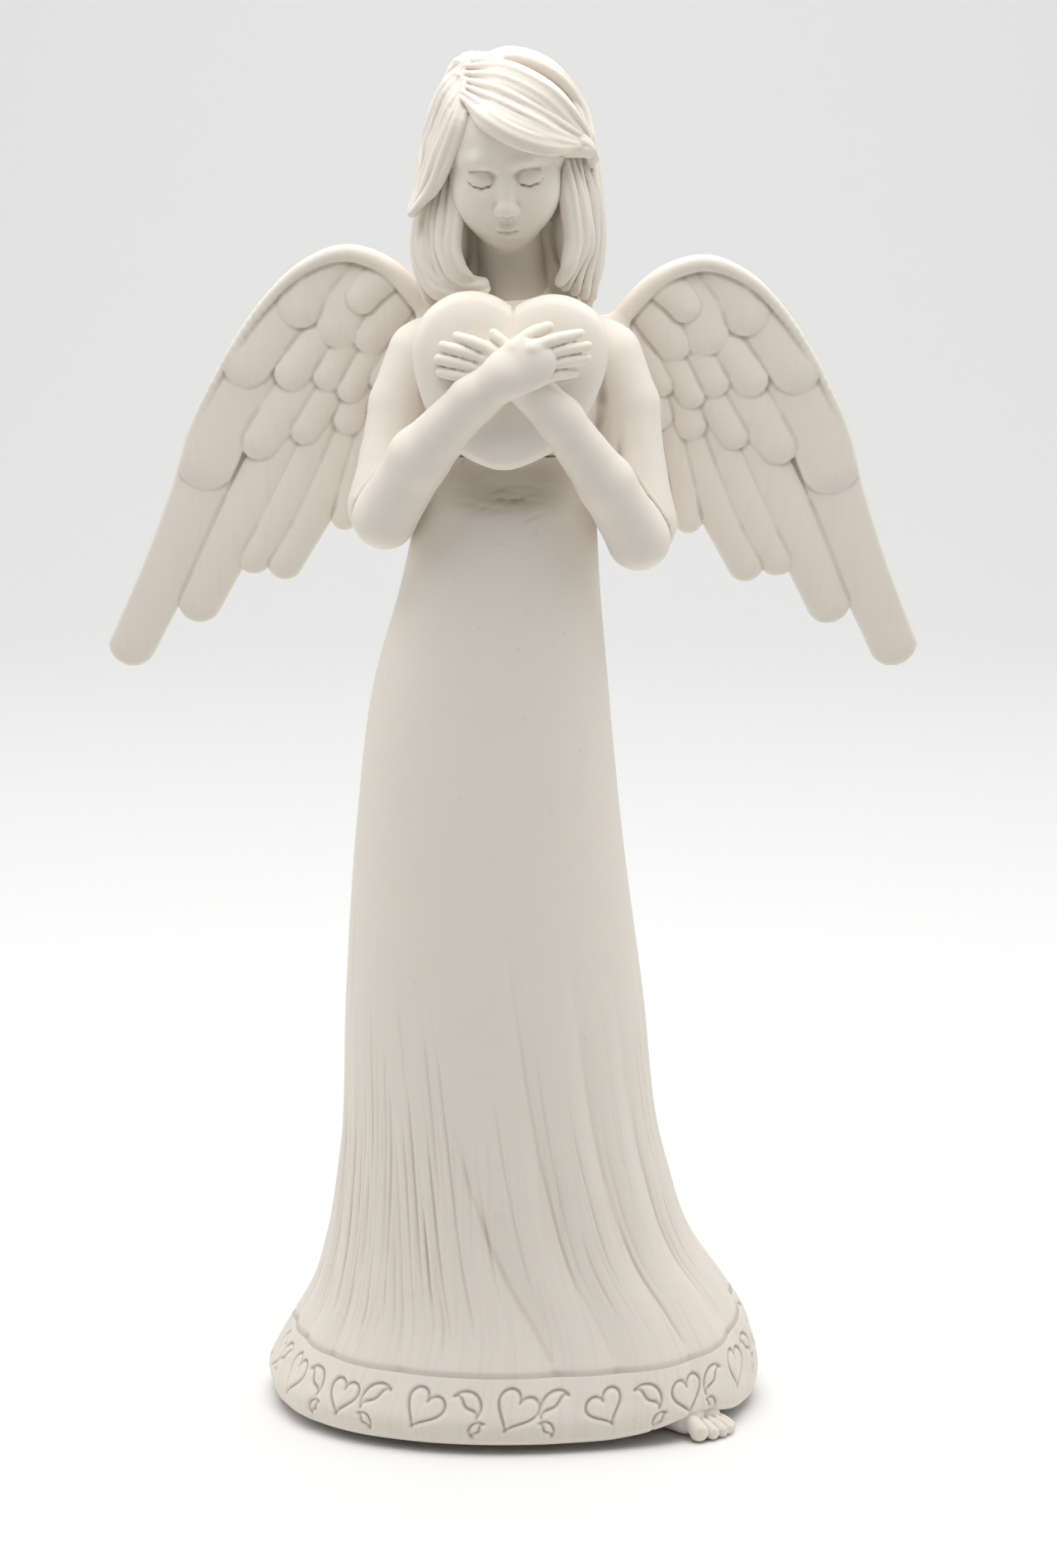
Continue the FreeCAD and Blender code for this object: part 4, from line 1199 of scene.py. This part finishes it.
# ---- pieces under and inside the gown keep their CAD shape ----
finishes = {
    "closing_plate": plain_material("plate_resin", (0.62, 0.58, 0.52), (0.50, 0.46, 0.40), 160, 0.62, 0.15),
    "felt_pad": plain_material("pressed_felt", (0.52, 0.49, 0.44), (0.36, 0.34, 0.30), 900, 0.92, 0.30),
    "filler_plug": plain_material("plug_rubber", (0.10, 0.10, 0.10), (0.06, 0.06, 0.06), 240, 0.70, 0.08),
    "plaster_core": plain_material("set_plaster", (0.72, 0.70, 0.66), (0.60, 0.58, 0.54), 220, 0.85, 0.25),
}
steel = plain_material("ground_steel", (0.60, 0.60, 0.61), (0.48, 0.48, 0.50), 700, 0.34, 0.02,
                       metallic=1.0)
for node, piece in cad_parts.items():
    if piece.hide_render:
        continue
    piece.data.materials.clear()
    piece.data.materials.append(finishes.get(node, steel))

# ---- floor, light and camera ----
FIGURE = Vector((0, 0, HEIGHT / 2)) * MM
BACKDROP_Y, BEND, FLOOR_FRONT_Y, FLOOR_HALF_WIDTH, BACKDROP_TOP = 1.8, 0.7, -1.6, 2.6, 3.0


def sweep_floor():
    """Pale floor that curves up into a backdrop."""
    angles = np.linspace(0, math.pi / 2, 18)
    bend = [(BACKDROP_Y - BEND + BEND * math.sin(a), BEND - BEND * math.cos(a)) for a in angles]
    profile = [(FLOOR_FRONT_Y, 0.0), *bend, (BACKDROP_Y, BACKDROP_TOP)]
    points = np.array([[x, y, z] for y, z in profile for x in (-FLOOR_HALF_WIDTH, FLOOR_HALF_WIDTH)])
    quads = [[2 * i, 2 * i + 1, 2 * i + 3, 2 * i + 2] for i in range(len(profile) - 1)]
    mesh = bpy.data.meshes.new("studio_sweep")
    mesh.from_pydata(points.tolist(), [], quads)
    mesh.polygons.foreach_set("use_smooth", np.ones(len(quads), bool))
    floor = bpy.data.objects.new("studio_sweep", mesh)
    bpy.context.scene.collection.objects.link(floor)
    mesh.materials.append(Finish("studio_paper").finish(Base_Color=(0.92, 0.92, 0.91, 1), Roughness=0.9))


def soft_light(name, place, size, watts, target=FIGURE):
    lamp = bpy.data.lights.new(name, "AREA")
    lamp.shape, lamp.size, lamp.size_y, lamp.energy = "RECTANGLE", size[0], size[1], watts
    holder = bpy.data.objects.new(name, lamp)
    holder.location = place
    holder.rotation_euler = (Vector(target) - Vector(place)).to_track_quat("-Z", "Y").to_euler()
    bpy.context.scene.collection.objects.link(holder)


sweep_floor()
soft_light("overhead_softbox", (0.0, -0.07, 0.50), (0.5, 0.36), 1.78)
soft_light("left_softbox", (-1.05, 0.15, 0.55), (0.9, 0.9), 2.8)
soft_light("right_softbox", (1.05, 0.15, 0.55), (0.9, 0.9), 2.6)
soft_light("floor_light", (0.0, 0.42, 0.80), (1.3, 0.4), 1.75, (0.0, 0.30, 0.0))
soft_light("backdrop_light", (0.0, 0.7, 1.5), (1.6, 0.6), 11.5, (0.0, 1.8, 0.5))

world = bpy.data.worlds.new("studio")
world.use_nodes = True
world.node_tree.nodes["Background"].inputs["Color"].default_value = (0.93, 0.94, 0.95, 1)
world.node_tree.nodes["Background"].inputs["Strength"].default_value = 0.275
bpy.context.scene.world = world

CAMERA_DISTANCE, CAMERA_HEIGHT, CAMERA_X = 750, 229, 2.9
CAMERA_DOWN = 8.92         # degrees below level
camera_data = bpy.data.cameras.new("camera")
camera_data.sensor_width = 36      # millimetres, as is the lens
camera_data.sensor_fit = "AUTO"
camera_data.lens = 98.4
camera = bpy.data.objects.new("camera", camera_data)
camera.location = Vector((CAMERA_X, -CAMERA_DISTANCE, CAMERA_HEIGHT)) * MM
camera.rotation_euler = (math.radians(90 - CAMERA_DOWN), 0, 0)
bpy.context.scene.collection.objects.link(camera)
bpy.context.scene.camera = camera
bpy.context.scene.view_settings.view_transform = "Standard"
bpy.context.scene.view_settings.look = "None"
